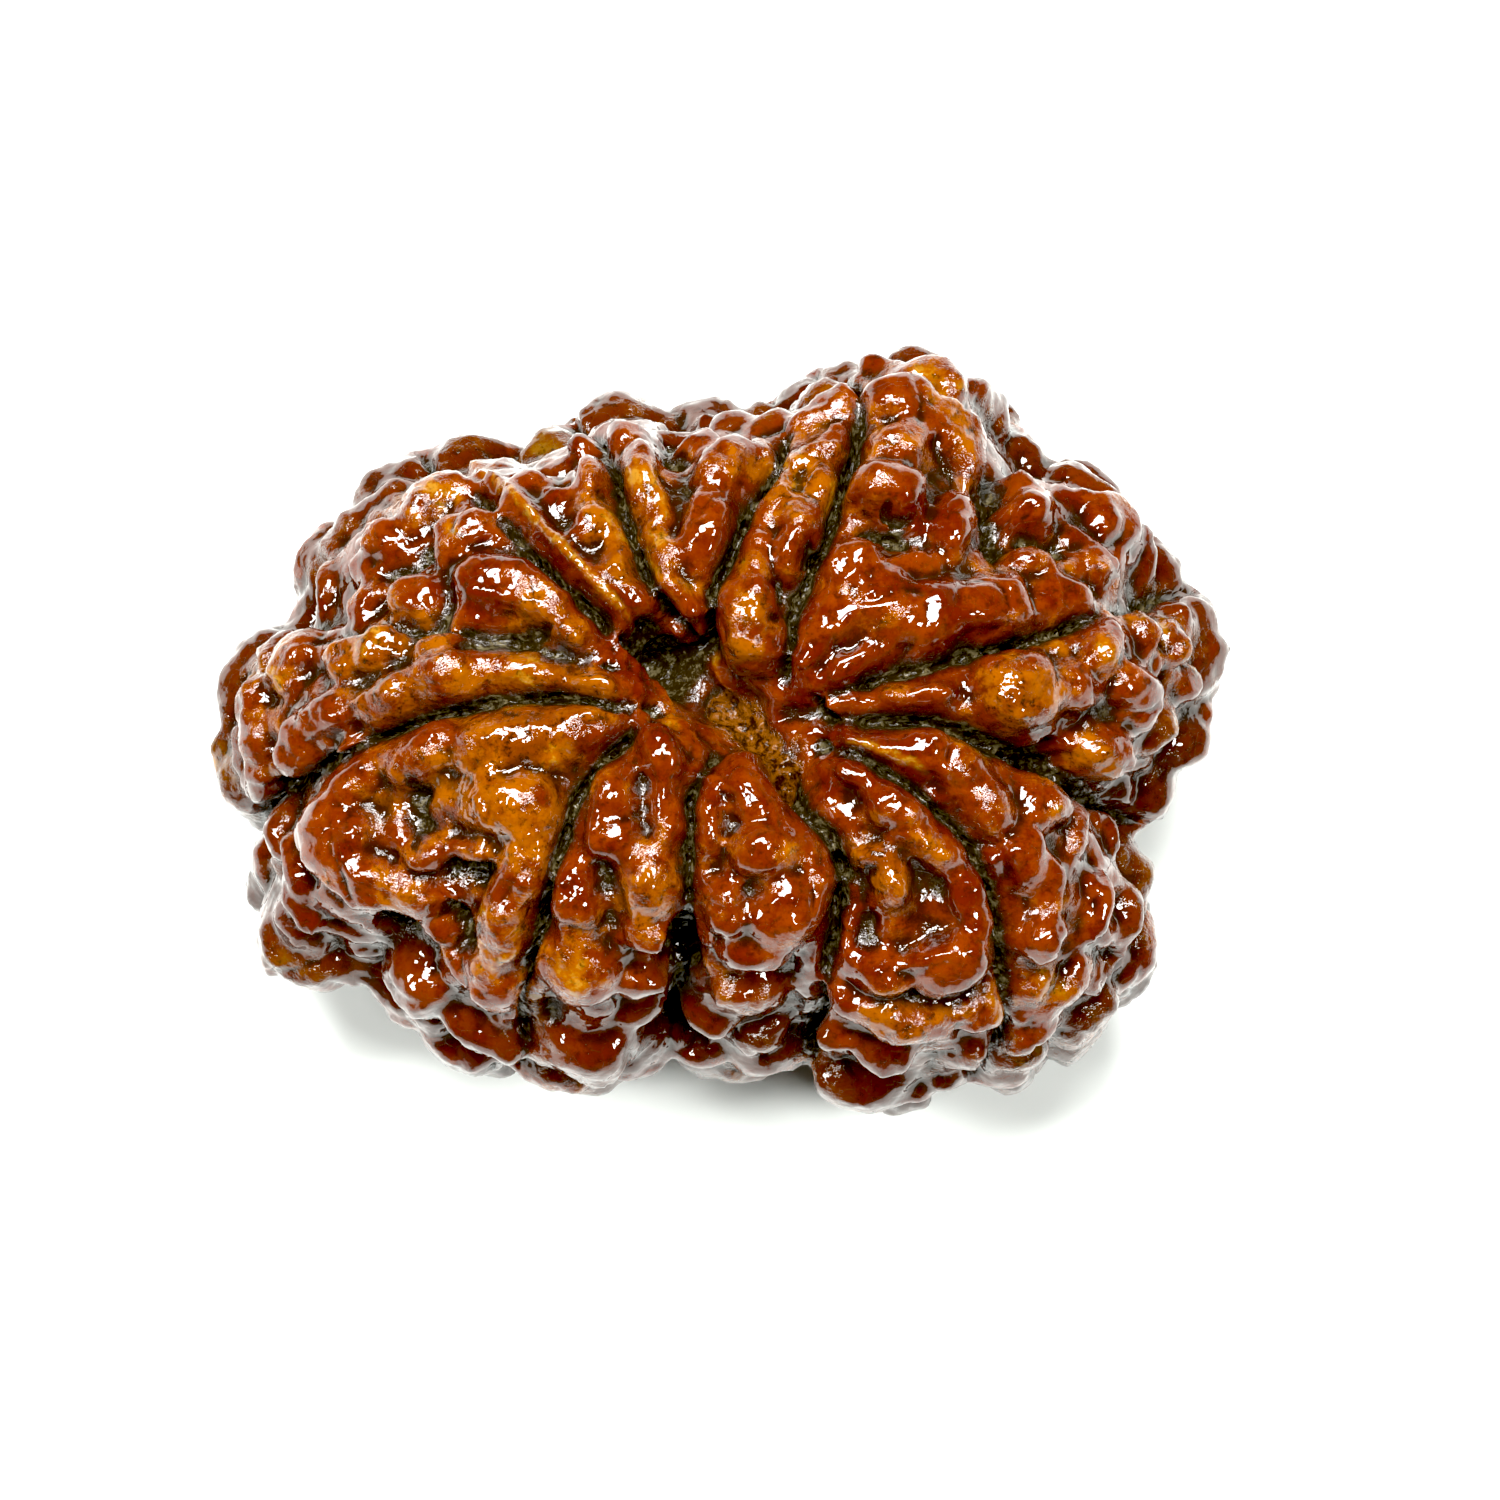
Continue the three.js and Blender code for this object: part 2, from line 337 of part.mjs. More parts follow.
// Below the rim each rib between two sutures has its own rows of lumps.
function lowerLumps() {
  const made = [];
  let number = 1000;
  const angles = sutures.map(sutureAngle).sort((a, b) => a - b);
  angles.forEach((start, k) => {
    const end = k + 1 < angles.length ? angles[k + 1] : angles[0] + 2 * Math.PI;
    for (let row = 0; row < lowerRows; row += 1) {
      const nearStalk = row / (lowerRows - 1);
      const tilt = rad(firstRowTilt + (lastRowTilt - firstRowTilt) * nearStalk);
      const count = Math.max(1, Math.round(((end - start) * 12 * Math.sin(tilt)) / lowerSpacing));
      for (let i = 0; i < count; i += 1) {
        number += 7;
        const across = (i + 0.5 + (draw(number) - 0.5) * 0.3 + ((row % 2) - 0.5) * 0.2) / count;
        const place = skinPoint(start + (end - start) * across, tilt + (draw(number + 1) - 0.5) * 0.1);
        const turn = start + (draw(number + 2) - 0.5) * 1.6;
        const size = (0.75 + draw(number + 3) * 0.45) * (1 - 0.25 * nearStalk);
        const rise = lowerLump.rise * size * (1 - 0.5 * nearStalk * nearStalk);
        made.push(makeLump(place, skinNormal(place), lowerLump.length * size, lowerLump.width * size, turn, rise));
      }
    }
  });
  return made;
}

// How far along the line from start a lump's far side is, or nothing where the line misses it.
function farSide(lump, start, direction) {
  const from = start.clone().applyMatrix4(lump.toBall);
  const way = start.clone().add(direction).applyMatrix4(lump.toBall).sub(from);
  const a = way.lengthSq();
  const b = from.dot(way);
  const c = from.lengthSq() - 1;
  const inside = b * b - a * c;
  return inside > 0 ? (Math.sqrt(inside) - b) / a : -Infinity;
}

// A suture as a line on the skin: its upper part as laid out, then over the rim to near the stalk end.
function makeSuture(line) {
  const path = line.map(([across, up]) => seenPlace(across, up));
  const angle = sutureAngle(line);
  const steps = 8;
  for (let i = 1; i <= steps; i += 1) {
    const sway = 0.06 * Math.sin(i * 1.7 + angle * 5);
    path.push(skinPoint(angle + sway, rad(84 + ((158 - 84) * i) / steps)));
  }
  return path;
}

// The place on a line of points that is nearest to p.
function nearestOn(path, p) {
  let best = path[0];
  const piece = new THREE.Line3();
  for (let i = 1; i < path.length; i += 1) {
    piece.set(path[i - 1], path[i]);
    const place = piece.closestPointToPoint(p, true, new THREE.Vector3());
    if (place.distanceTo(p) < best.distanceTo(p)) best = place;
  }
  return best;
}

// Draws a net point that is near a suture in towards its line, so that the narrow cut runs clean.
function drawIn(skin, outward, nearPlaces) {
  const nearest = nearPlaces.reduce((a, b) => (b.distanceTo(skin) < a.distanceTo(skin) ? b : a));
  const distance = nearest.distanceTo(skin);
  if (distance > drawnIn) return;
  const way = nearest.clone().sub(skin);
  way.addScaledVector(outward, -way.dot(outward));
  skin.addScaledVector(way, 1 - distance / drawnIn);
}

function sutureDip(distance, strength) {
  const cut = sutureCut.depth * Math.exp(-((distance / (sutureCut.width * strength)) ** 2));
  const valley = sutureValley.depth * Math.exp(-((distance / sutureValley.width) ** 2));
  return strength * (cut + valley);
}

// The net: a ball of nearly even triangles, spread over the even body so that the upper side gets more.
function tiltTable() {
  const steps = 360;
  const sums = [0];
  for (let k = 1; k <= steps; k += 1) {
    const from = evenPoint(0.8, (Math.PI * (k - 1)) / steps).point;
    const to = evenPoint(0.8, (Math.PI * k) / steps).point;
    const closeness = k <= steps / 2 ? 1 : netShareBelow;
    const girth = (Math.hypot(from.x, from.y) + Math.hypot(to.x, to.y)) / 2;
    sums.push(sums[k - 1] + closeness * girth * from.distanceTo(to));
  }
  return sums.map((sum) => sum / sums[steps]);
}

function tiltAt(portion, table) {
  let k = 1;
  while (k < table.length - 1 && table[k] < portion) k += 1;
  const t = (portion - table[k - 1]) / (table[k] - table[k - 1]);
  return (Math.PI * (k - 1 + t)) / (table.length - 1);
}

// Takes the saw-teeth out of steep places: each point goes a share of the way to its neighbours' middle.
function soften(net) {
  const place = net.attributes.position;
  const before = Array.from({ length: place.count }, (_, i) => new THREE.Vector3().fromBufferAttribute(place, i));
  const sums = before.map(() => ({ total: new THREE.Vector3(), count: 0 }));
  for (let i = 0; i < net.index.count; i += 1) {
    const next = i % 3 === 2 ? i - 2 : i + 1;
    const sum = sums[net.index.getX(i)];
    sum.total.add(before[net.index.getX(next)]);
    sum.count += 1;
  }
  before.forEach((p, i) => {
    p.lerp(sums[i].total.divideScalar(sums[i].count), softness);
    place.setXYZ(i, p.x, p.y, p.z);
  });
}

function makeBead() {
  const allLumps = [...upperLumps(), ...lowerLumps()];
  const allSutures = sutures.map(makeSuture);
  const allHollows = hollows.map(([x1, y1, x2, y2, halfWidth, depth]) => {
    return { path: [seenPlace(x1, y1, 0.3), seenPlace(x2, y2, 0.3)], halfWidth, depth };
  });
  const table = tiltTable();
  const ball = new THREE.IcosahedronGeometry(1, netDetail);
  ball.deleteAttribute("normal");
  ball.deleteAttribute("uv");
  const net = mergeVertices(ball, 1e-5);
  const place = net.attributes.position;
  for (let i = 0; i < place.count; i += 1) {
    const p = new THREE.Vector3().fromBufferAttribute(place, i);
    const { point, outward } = evenPoint(Math.atan2(p.y, p.x), tiltAt((1 - p.z) / 2, table));
    const offset = skinOffset(point, outward);
    const skin = point.clone().addScaledVector(outward, offset);
    const nearPlaces = allSutures.map((path) => nearestOn(path, skin));
    drawIn(skin, outward, nearPlaces);
    let height = 0;
    for (const lump of allLumps) {
      if (lump.centre.distanceTo(skin) < lump.size + 1) {
        height = Math.max(height, farSide(lump, skin, outward));
      }
    }
    nearPlaces.forEach((near, k) => {
      height -= sutureDip(near.distanceTo(skin), sutureStrength[k]);
    });
    for (const { path, halfWidth, depth } of allHollows) {
      height -= depth * Math.exp(-((nearestOn(path, skin).distanceTo(skin) / halfWidth) ** 2));
    }
    const final = skin.addScaledVector(outward, height);
    place.setXYZ(i, final.x, final.y, final.z);
  }
  soften(net);
  const stone = new wasm.Manifold(new wasm.Mesh({
    numProp: 3,
    vertProperties: place.array,
    triVerts: new Uint32Array(net.index.array),
  }));
  const ground = new THREE.BoxGeometry(40, 40, 4).translate(0, 0, -2);
  ground.deleteAttribute("normal");
  ground.deleteAttribute("uv");
  const below = mergeVertices(ground, 1e-5);
  return stone.subtract(new wasm.Manifold(new wasm.Mesh({
    numProp: 3,
    vertProperties: below.attributes.position.array,
    triVerts: new Uint32Array(below.index.array),
  })));
}

function meshFrom(solid) {
  const { vertProperties, triVerts } = solid.getMesh();
  const geometry = new THREE.BufferGeometry();
  geometry.setAttribute("position", new THREE.BufferAttribute(vertProperties, 3));
  geometry.setIndex(new THREE.BufferAttribute(triVerts, 1));
  geometry.computeVertexNormals();
  return geometry;
}

const bead = new THREE.Mesh(
  meshFrom(makeBead()),
  new THREE.MeshStandardMaterial({ color: 0x8c3508, roughness: 0.28, metalness: 0 }),
);
bead.name = "rudraksha_bead";

const group = new THREE.Group();
group.add(bead);
export default group;
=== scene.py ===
import math

import bpy
import numpy as np
from mathutils import Matrix, Vector, noise
from mathutils.kdtree import KDTree


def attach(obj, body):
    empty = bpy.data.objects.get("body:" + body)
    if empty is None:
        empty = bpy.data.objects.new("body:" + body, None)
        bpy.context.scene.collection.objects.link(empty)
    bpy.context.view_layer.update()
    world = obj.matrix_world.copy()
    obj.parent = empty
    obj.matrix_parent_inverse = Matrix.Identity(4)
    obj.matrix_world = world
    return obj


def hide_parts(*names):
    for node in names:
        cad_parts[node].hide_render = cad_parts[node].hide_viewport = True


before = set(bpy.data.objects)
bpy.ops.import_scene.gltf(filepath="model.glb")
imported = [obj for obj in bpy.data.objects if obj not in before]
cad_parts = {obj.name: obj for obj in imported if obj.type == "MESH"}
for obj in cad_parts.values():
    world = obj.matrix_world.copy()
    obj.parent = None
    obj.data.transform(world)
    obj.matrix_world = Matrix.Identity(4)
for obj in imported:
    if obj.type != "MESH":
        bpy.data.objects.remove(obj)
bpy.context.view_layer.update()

# The bead is modelled in millimetres, with its flat spot at z 0, and brought to metres at the end
metresPerUnit = 0.001

stone = {
    "heightAbove": 8.3,       # from the widest level up to the top face
    "heightBelow": 8.0,       # from the widest level down to the stalk end
    "wornAway": 0.3,          # what the flat spot has taken off the stalk end
    "roundnessAbove": 3.0,    # 2 is an ellipse, more is flatter with a tighter rim
    "roundnessBelow": 2.1,
    "evenLength": 13.6,       # half-widths of the even body under the skin
    "evenWidth": 10.6,
    "dipsFrom": 0.45,         # the outline's dips fade out from the rim to this share of the way in
    "relief": 0.8,            # how much of their laid-out rise the upper lumps keep
    "showing": 0.5,           # share of a knob's half-height that stands out
    "squareness": 3.2,        # 2 is an egg, more is a pillow with a flatter top
    "flankSpread": 0.25,      # knobs on steep flanks are wider by up to this share
    "rimTilts": (70, 100),    # between which tilts from the pole the lumps seen at the edge sit
    "voxel": 0.185,           # edge of the remesh's cells
}
widestLevel = stone["heightBelow"] - stone["wornAway"]

# Half-widths of the stone under its lumps, as [degrees from +X, radius]
outline = np.array([
    [0, 13.8], [7, 14.3], [13, 14.1], [16.5, 13.1], [21, 13.8], [29, 13.5], [35, 12.9], [39, 11.6],
    [46, 12.1], [53, 12.8], [61, 12.3], [68, 11.6], [71.5, 10.3], [76, 9.7], [82, 8.5], [90, 8.6],
    [96, 8.2], [104, 9.3], [112, 9.8], [118, 9.4], [126, 9.1], [134, 10.7], [142, 11.7], [150, 12.4],
    [158, 12.6], [166, 12.0], [172, 13.6], [181, 14.1], [187, 14.0], [192, 13.1], [198, 14.0], [206, 14.1],
    [212, 13.1], [217, 11.9], [224, 12.1], [232, 11.8], [237, 11.8], [241, 10.7], [248, 10.9], [255, 9.5],
    [262, 7.5], [269, 9.2], [276, 9.5], [283, 8.9], [290, 11.0], [300, 12.2], [306, 12.7], [314, 13.5],
    [322, 13.7], [330, 13.9], [337, 13.4], [344, 12.0], [348, 11.5], [354, 13.0],
])

# The pit at the top: a slanting cleft
pit = {"x": 0.3, "y": -0.5, "turn": -42, "halfLength": 2.7, "halfWidth": 1.25, "depth": 2.6}

# The upper side is laid out as it is seen: across is X, up is what the eye takes for Y from this elevation
seenFrom = math.radians(80)
seenDistance = 312.5

# Lumps of the upper side: across, up, length, width, turn in degrees, and rise where it isn't the usual one
lumps = [
    # The rib left of the first suture.
    [-8.4, 6.9, 2.2, 1.3, 55], [-7.1, 5.9, 2.5, 1.5, 25, 1.2], [-6.4, 4.3, 2.6, 1.9, -5, 1.3],
    [-5.2, 3.9, 2.0, 1.6, -35, 1.2], [-4.5, 3.0, 1.3, 1.1, -20], [-8.9, 3.9, 1.6, 1.5, 0, 1.1],
    [-9.9, 5.6, 1.2, 1.1, -10, 1.0], [-9.9, 7.0, 1.5, 1.0, 45], [-9.2, 7.9, 1.5, 1.0, 15],
    [-11.3, 6.2, 1.5, 1.2, 25, 1.0], [-11.6, 4.9, 1.4, 1.0, -65], [-12.2, 4.3, 2.0, 1.0, 80],
    [-10.7, 4.7, 1.0, 0.7, -30], [-10.4, 3.8, 1.6, 1.0, 85], [-11.5, 3.5, 1.4, 0.9, 50],
    [-7.4, 3.3, 1.2, 0.8, 10],
    # The narrow rib with a thin crest beside the first suture.
    [-6.9, 7.3, 1.7, 0.8, -30], [-5.9, 6.5, 1.7, 0.7, -45], [-4.9, 5.5, 1.9, 0.7, -42],
    [-3.8, 4.5, 1.9, 0.7, -42], [-2.9, 3.4, 1.8, 0.8, -50], [-8.1, 8.3, 1.4, 0.9, 0],
    [-7.2, 8.0, 1.2, 0.8, -40], [-6.0, 8.1, 1.7, 0.7, -8], [-5.6, 7.2, 1.1, 0.9, 60],
    [-4.6, 6.8, 1.2, 0.9, -30, 0.6], [-4.8, 8.8, 1.8, 1.2, 72, 1.0], [-3.95, 8.5, 1.0, 0.8, 80],
    [-3.7, 7.3, 1.8, 0.9, 95, 1.0], [-3.8, 6.0, 1.4, 1.1, 70], [-3.0, 5.6, 1.5, 0.8, 105],
    [-3.1, 4.8, 1.2, 0.8, -50], [-2.1, 3.8, 1.7, 0.7, -35], [-1.2, 2.9, 1.4, 0.5, -42],
    # The rib above the pit.
    [-3.2, 9.5, 1.7, 1.2, 25, 1.0], [-2.0, 9.4, 1.7, 1.2, -40], [-2.7, 8.7, 1.3, 0.9, -25],
    [-2.3, 7.5, 2.4, 1.2, 97, 1.1], [-1.9, 6.1, 1.6, 0.9, 100], [-1.6, 5.1, 1.1, 0.9, 60],
    [-1.2, 4.0, 1.9, 1.0, 118], [0.2, 7.8, 2.0, 1.4, 68, 1.2], [-0.35, 5.9, 2.5, 1.4, 82, 1.2],
    [-0.5, 8.5, 1.3, 0.9, 30], [-0.1, 9.2, 0.9, 0.8, 0], [0.8, 9.0, 1.6, 0.7, -15],
    [1.3, 8.2, 1.2, 0.8, -20], [1.7, 9.1, 1.3, 0.8, 20],
    # The rib left of the trunk.
    [1.0, 3.2, 2.7, 1.9, 100, 1.1], [1.2, 4.6, 1.3, 0.9, 100], [1.2, 5.7, 1.3, 0.7, 95],
    [1.7, 7.0, 1.7, 0.9, 60], [2.4, 5.7, 2.5, 1.2, 75, 1.0], [2.8, 6.8, 1.3, 0.8, 80],
    [3.2, 7.4, 1.1, 0.8, 70], [3.6, 8.5, 1.5, 0.9, 62], [2.6, 8.1, 1.6, 0.8, 22],
    [2.8, 9.1, 1.9, 0.8, 38], [3.7, 9.8, 1.5, 1.0, 45], [3.4, 10.4, 1.5, 1.1, 25], [2.6, 9.9, 1.1, 0.7, 75],
    # The trunk and the rib that it grows from.
    [5.4, 9.5, 2.4, 1.7, 5, 1.5], [6.7, 8.8, 2.2, 1.7, -25, 1.4], [5.4, 8.3, 2.0, 1.5, 20, 1.1],
    [5.0, 6.9, 2.3, 1.7, -12, 1.8], [7.4, 7.6, 1.9, 1.0, 100, 1.2], [7.0, 6.0, 2.2, 1.1, 75, 1.2],
    [4.9, 10.7, 1.2, 0.8, 10], [6.4, 10.3, 1.9, 1.0, -38, 1.2], [5.2, 11.2, 1.8, 0.9, 5],
    [6.5, 11.2, 1.6, 0.8, -15], [7.6, 10.9, 1.5, 0.8, -10], [8.1, 10.3, 1.5, 0.9, 25],
    [8.1, 9.4, 1.3, 0.9, -60, 1.0], [8.8, 9.5, 2.2, 0.9, -70], [8.7, 8.5, 1.5, 0.7, -60],
    [9.6, 7.7, 1.6, 0.7, -38], [9.0, 7.2, 2.0, 0.8, -42], [9.4, 6.4, 1.4, 0.9, 10],
    [10.5, 7.0, 1.2, 0.8, -10],
    [11.4, 7.5, 1.9, 1.0, -5], [12.4, 6.9, 1.8, 0.9, -55], [11.6, 6.2, 2.0, 1.5, 25, 1.1],
    [13.0, 5.9, 1.7, 0.8, -50], [13.6, 4.9, 1.2, 0.9, -60], [12.7, 4.8, 1.4, 0.8, -65],
    [11.5, 4.7, 1.4, 1.0, -50], [9.5, 5.1, 1.3, 1.0, 10, 0.5], [4.0, 4.8, 1.9, 1.5, 35, 1.2],
    [3.6, 3.6, 2.8, 1.5, 48, 1.0], [5.0, 3.9, 2.4, 1.7, 30, 1.0], [5.8, 4.8, 1.7, 0.8, 5],
    [6.4, 3.4, 2.4, 1.7, 25, 1.1], [8.3, 3.7, 2.7, 1.6, 12, 1.1], [10.2, 3.9, 2.2, 1.2, 10],
    [4.2, 2.0, 2.0, 0.7, 22], [5.0, 2.8, 1.2, 0.7, 10], [2.7, 2.4, 1.2, 0.7, 50],
    # The rib to the right.
    [6.1, 1.0, 2.2, 0.7, 8], [9.0, 1.2, 2.5, 2.3, 10, 1.4], [10.6, 1.3, 1.5, 1.4, 0, 0.9],
    [11.4, 2.5, 1.7, 1.1, 62, 1.1], [12.3, 1.1, 2.4, 1.4, -25, 1.2], [11.4, -0.7, 1.8, 1.3, -8, 1.1],
    [13.1, -0.2, 1.4, 0.8, 30], [12.8, 2.9, 1.1, 0.8, -50], [13.6, 2.6, 1.2, 0.9, -40],
    [14.0, 3.4, 1.2, 0.9, -35], [14.4, 2.2, 1.9, 0.8, -80], [13.9, 1.4, 1.0, 0.8, 20],
    [14.0, 0.5, 1.1, 0.8, 60], [13.7, -0.6, 1.6, 0.8, -75], [13.0, -1.5, 1.7, 0.9, -62],
    [12.6, -2.3, 1.3, 0.8, 20],
    # The rib below it, down to the suture at the lower right.
    [4.8, -0.4, 2.4, 0.7, -12], [6.8, -0.9, 2.6, 1.5, -28, 1.1], [8.0, -2.2, 1.9, 1.3, -62, 1.1],
    [9.7, -2.1, 1.8, 1.3, 10, 1.1], [10.7, -3.0, 1.4, 0.9, 80], [9.2, -3.9, 2.0, 1.5, -50, 1.1],
    [9.9, -4.9, 1.6, 1.0, -75], [9.6, -6.1, 1.6, 1.3, 80, 1.2], [11.3, -5.3, 1.9, 0.9, -65],
    [12.2, -5.2, 1.2, 1.0, 10], [12.4, -4.2, 1.6, 0.8, -60], [12.8, -6.0, 1.7, 0.8, -88],
    [11.8, -7.2, 1.4, 0.9, 30], [10.5, -7.5, 1.6, 1.1, 50], [9.3, -8.9, 1.7, 1.0, 78],
    [9.5, -7.6, 1.2, 0.8, 60], [10.7, -8.9, 1.7, 0.8, 38], [9.2, -10.2, 1.9, 0.9, 22],
    [12.0, -3.5, 1.2, 0.8, -70],
    # The rib left of the suture at the lower right.
    [5.6, -2.4, 2.4, 1.7, -45, 1.2], [6.6, -3.5, 2.0, 1.5, -35, 1.1], [7.6, -4.9, 2.5, 1.3, -80, 1.1],
    [7.0, -6.9, 2.2, 1.7, 20, 1.3], [5.0, -4.4, 1.9, 1.3, -65], [4.2, -1.2, 1.5, 0.8, -30],
    [5.0, -7.3, 1.4, 1.1, 0], [5.8, -8.6, 2.1, 1.3, -22, 1.2], [7.9, -8.3, 1.4, 1.1, 20],
    [7.7, -9.6, 1.4, 1.1, 15], [6.6, -10.5, 1.5, 1.0, -30], [4.9, -9.6, 1.4, 1.1, 10],
    [4.7, -10.7, 1.0, 0.8, 0], [3.8, -10.6, 1.5, 1.1, -65, 1.0], [5.5, -10.9, 1.1, 0.9, 0],
    [3.8, -9.2, 1.6, 0.8, -22], [4.2, -8.3, 1.4, 0.9, -40], [7.7, -10.8, 1.4, 0.8, 12],
    # The rib with the hanging lobe, at the front.
    [1.0, -1.9, 2.6, 1.4, -62, 0.9], [1.4, -3.6, 2.0, 1.4, 10, 1.3], [-0.3, -2.7, 2.5, 0.8, 90],
    [2.0, -5.4, 2.4, 2.0, 55, 1.5], [0.2, -5.2, 1.8, 1.2, 92, 1.2], [2.7, -3.8, 2.2, 1.0, -62],
    [1.1, -6.4, 2.0, 1.1, -15, 1.3], [0.9, -7.8, 1.9, 1.1, 5, 1.1], [2.0, -8.6, 1.4, 1.0, 62],
    [0.3, -9.4, 1.5, 0.8, -80], [1.3, -9.9, 1.3, 1.0, 40], [-0.5, -8.4, 1.5, 0.7, -60],
    # The rib left of it.
    [-3.2, -2.5, 2.8, 1.5, 82, 1.1], [-1.7, -0.7, 2.1, 1.2, -62, 1.0], [-1.5, -2.7, 2.3, 0.9, -88],
    [-2.0, -4.6, 2.1, 1.6, -80, 1.1], [-2.2, -5.9, 1.3, 1.1, 0, 1.2], [-4.4, -4.9, 2.4, 1.5, 98, 1.1],
    [-4.2, -6.9, 2.4, 2.0, 100, 1.4], [-2.2, -7.4, 1.6, 0.9, -10], [-4.3, -9.4, 2.5, 1.8, -8, 1.2],
    [-2.4, -8.3, 1.4, 0.8, 20],
    # The broad rib at the left.
    [-4.4, -0.1, 2.6, 1.5, 12, 1.0], [-6.6, -0.4, 2.8, 1.6, 12, 1.1], [-8.8, -0.7, 2.5, 1.4, 25, 1.1],
    [-10.8, -1.6, 2.6, 1.5, 30, 1.2], [-6.2, -2.2, 2.9, 1.9, -10, 1.3], [-5.6, -3.9, 2.4, 1.4, 72, 1.2],
    [-6.3, -5.6, 2.5, 1.4, 76, 1.2], [-6.6, -7.4, 2.1, 1.5, 80, 1.2], [-7.2, -3.6, 1.1, 0.9, 0],
    [-11.4, -3.2, 2.4, 2.2, -30, 1.3], [-10.5, -4.4, 1.9, 1.5, -30, 1.1], [-8.7, -3.7, 1.3, 1.1, 0],
    [-8.9, -4.9, 1.6, 1.2, -30], [-8.1, -6.0, 1.5, 0.8, -62], [-8.9, -7.4, 2.0, 1.6, -20, 1.3],
    [-7.6, -7.0, 1.3, 0.7, -30], [-13.8, -3.5, 1.6, 0.9, 78], [-12.6, -4.1, 1.8, 0.7, -65],
    [-13.5, -5.1, 1.4, 0.9, -60], [-12.5, -5.4, 1.5, 0.7, -15], [-12.1, -6.3, 2.2, 1.3, -12, 1.1],
    [-13.2, -6.2, 1.5, 0.9, -55], [-10.9, -6.6, 1.5, 1.0, 10], [-9.0, -8.9, 1.4, 0.9, -20],
    [-7.2, -8.8, 2.0, 1.4, -28, 1.1], [-7.0, -10.0, 1.6, 0.9, -25], [-10.1, -7.9, 1.6, 0.8, -62],
    [-12.9, -2.7, 1.5, 0.9, -55],
    # The rib above it.
    [-8.0, 1.5, 2.2, 1.5, 12, 1.1], [-9.8, 0.9, 2.2, 1.3, 28, 1.1], [-6.0, 1.7, 2.6, 0.9, -12],
    [-8.2, 2.4, 1.8, 0.8, -5], [-3.8, 1.2, 1.4, 0.8, 10], [-10.7, 2.2, 2.5, 1.2, 8, 1.0],
    [-12.7, 2.0, 1.8, 1.3, 40, 1.0], [-11.6, 0.4, 2.0, 1.2, 15, 1.0], [-12.5, -0.5, 1.8, 1.1, 55, 1.0],
    [-13.7, 0.3, 2.2, 1.2, 85, 1.0], [-14.2, 1.5, 2.2, 1.0, 72], [-13.6, -1.5, 1.4, 1.0, 50],
    [-14.3, -0.8, 1.8, 0.9, 85], [-14.1, -2.0, 1.1, 0.8, -60], [-13.7, 2.4, 1.3, 0.8, 25],
]

# Small dark pits and gaps of the upper side: from across, up to across, up, half-width and depth
pits = [
    [-0.9, 1.4, -2.0, 2.9, 0.5, 1.3], [2.0, 0.4, 2.4, 0.4, 0.3, 0.6], [2.1, -1.2, 2.5, -1.6, 0.3, 0.7],
    [-9.0, -2.0, -9.0, -3.0, 0.45, 0.9], [-7.7, -4.3, -7.1, -4.3, 0.45, 0.8],
    [-9.9, -5.9, -9.3, -5.9, 0.45, 1.1], [-7.8, -5.3, -7.6, -6.3, 0.3, 0.7],
    [-12.9, -4.2, -12.9, -4.8, 0.35, 0.8], [11.7, -6.7, 11.7, -6.9, 0.35, 0.8],
    [13.4, 1.7, 13.4, 1.5, 0.25, 0.6], [-1.4, -6.3, -1.2, -7.0, 0.5, 1.4], [4.6, 5.9, 5.6, 5.9, 0.3, 0.9],
    [4.3, -4.4, 4.5, -6.2, 0.45, 0.8], [-1.4, 8.2, -1.2, 9.4, 0.45, 0.9], [7.9, 7.5, 8.3, 5.9, 0.5, 1.0],
    [-9.0, 5.2, -9.8, 4.8, 0.45, 0.8], [-10.1, 6.3, -10.3, 6.4, 0.35, 0.8],
    [10.0, -0.7, 10.2, -1.2, 0.45, 0.8], [-7.4, 2.5, -5.2, 2.9, 0.2, 0.5], [7.4, 2.4, 9.0, 2.6, 0.2, 0.4],
    [-4.9, 7.8, -6.8, 7.4, 0.4, 0.6], [2.7, 5.0, 2.8, 5.3, 0.3, 0.7], [1.8, 4.2, 2.0, 3.4, 0.25, 0.6],
    [8.4, 5.7, 10.4, 5.7, 0.45, 0.9], [8.6, 8.8, 9.6, 7.0, 0.25, 0.5],
]

# Where the red skin is worn to amber: across, up and radius
wornPatches = [
    [-6.6, -1.6, 2.3], [-2.2, -4.6, 1.3], [-9.2, -2.4, 1.6], [5.6, -4.2, 1.5], [8.8, 1.1, 1.1],
    [11.3, -0.8, 0.9], [6.9, 7.6, 1.5], [-9.6, 1.9, 2.0], [-5.6, 3.9, 1.2], [-3.2, 5.4, 1.1],
    [1.0, 3.2, 1.0], [5.4, -8.4, 1.3], [-4.0, 0.8, 1.1], [2.2, 7.2, 1.0],
]

# Thin crests: beside the first suture, beside the pit's deep end, and along the rib below the right gap
crests = [
    {"line": [[-2.3, 2.6], [-2.9, 3.5], [-4.0, 4.75], [-5.0, 5.7], [-6.1, 6.8], [-7.4, 7.9]],
     "halfWidth": 0.19, "rise": 0.42},
    {"line": [[-0.9, 3.1], [-0.3, 2.3], [0.1, 1.6], [0.8, 0.9]], "halfWidth": 0.16, "rise": 0.42},
    {"line": [[3.0, -0.3], [4.4, -0.45], [5.8, -1.0], [6.9, -1.9]], "halfWidth": 0.16, "rise": 0.16},
]

# The fibrous plug in the pit, from one place to another as they are seen
plug = {"from": [0.3, 0.5], "to": [1.7, -0.9], "halfWidth": 0.75}

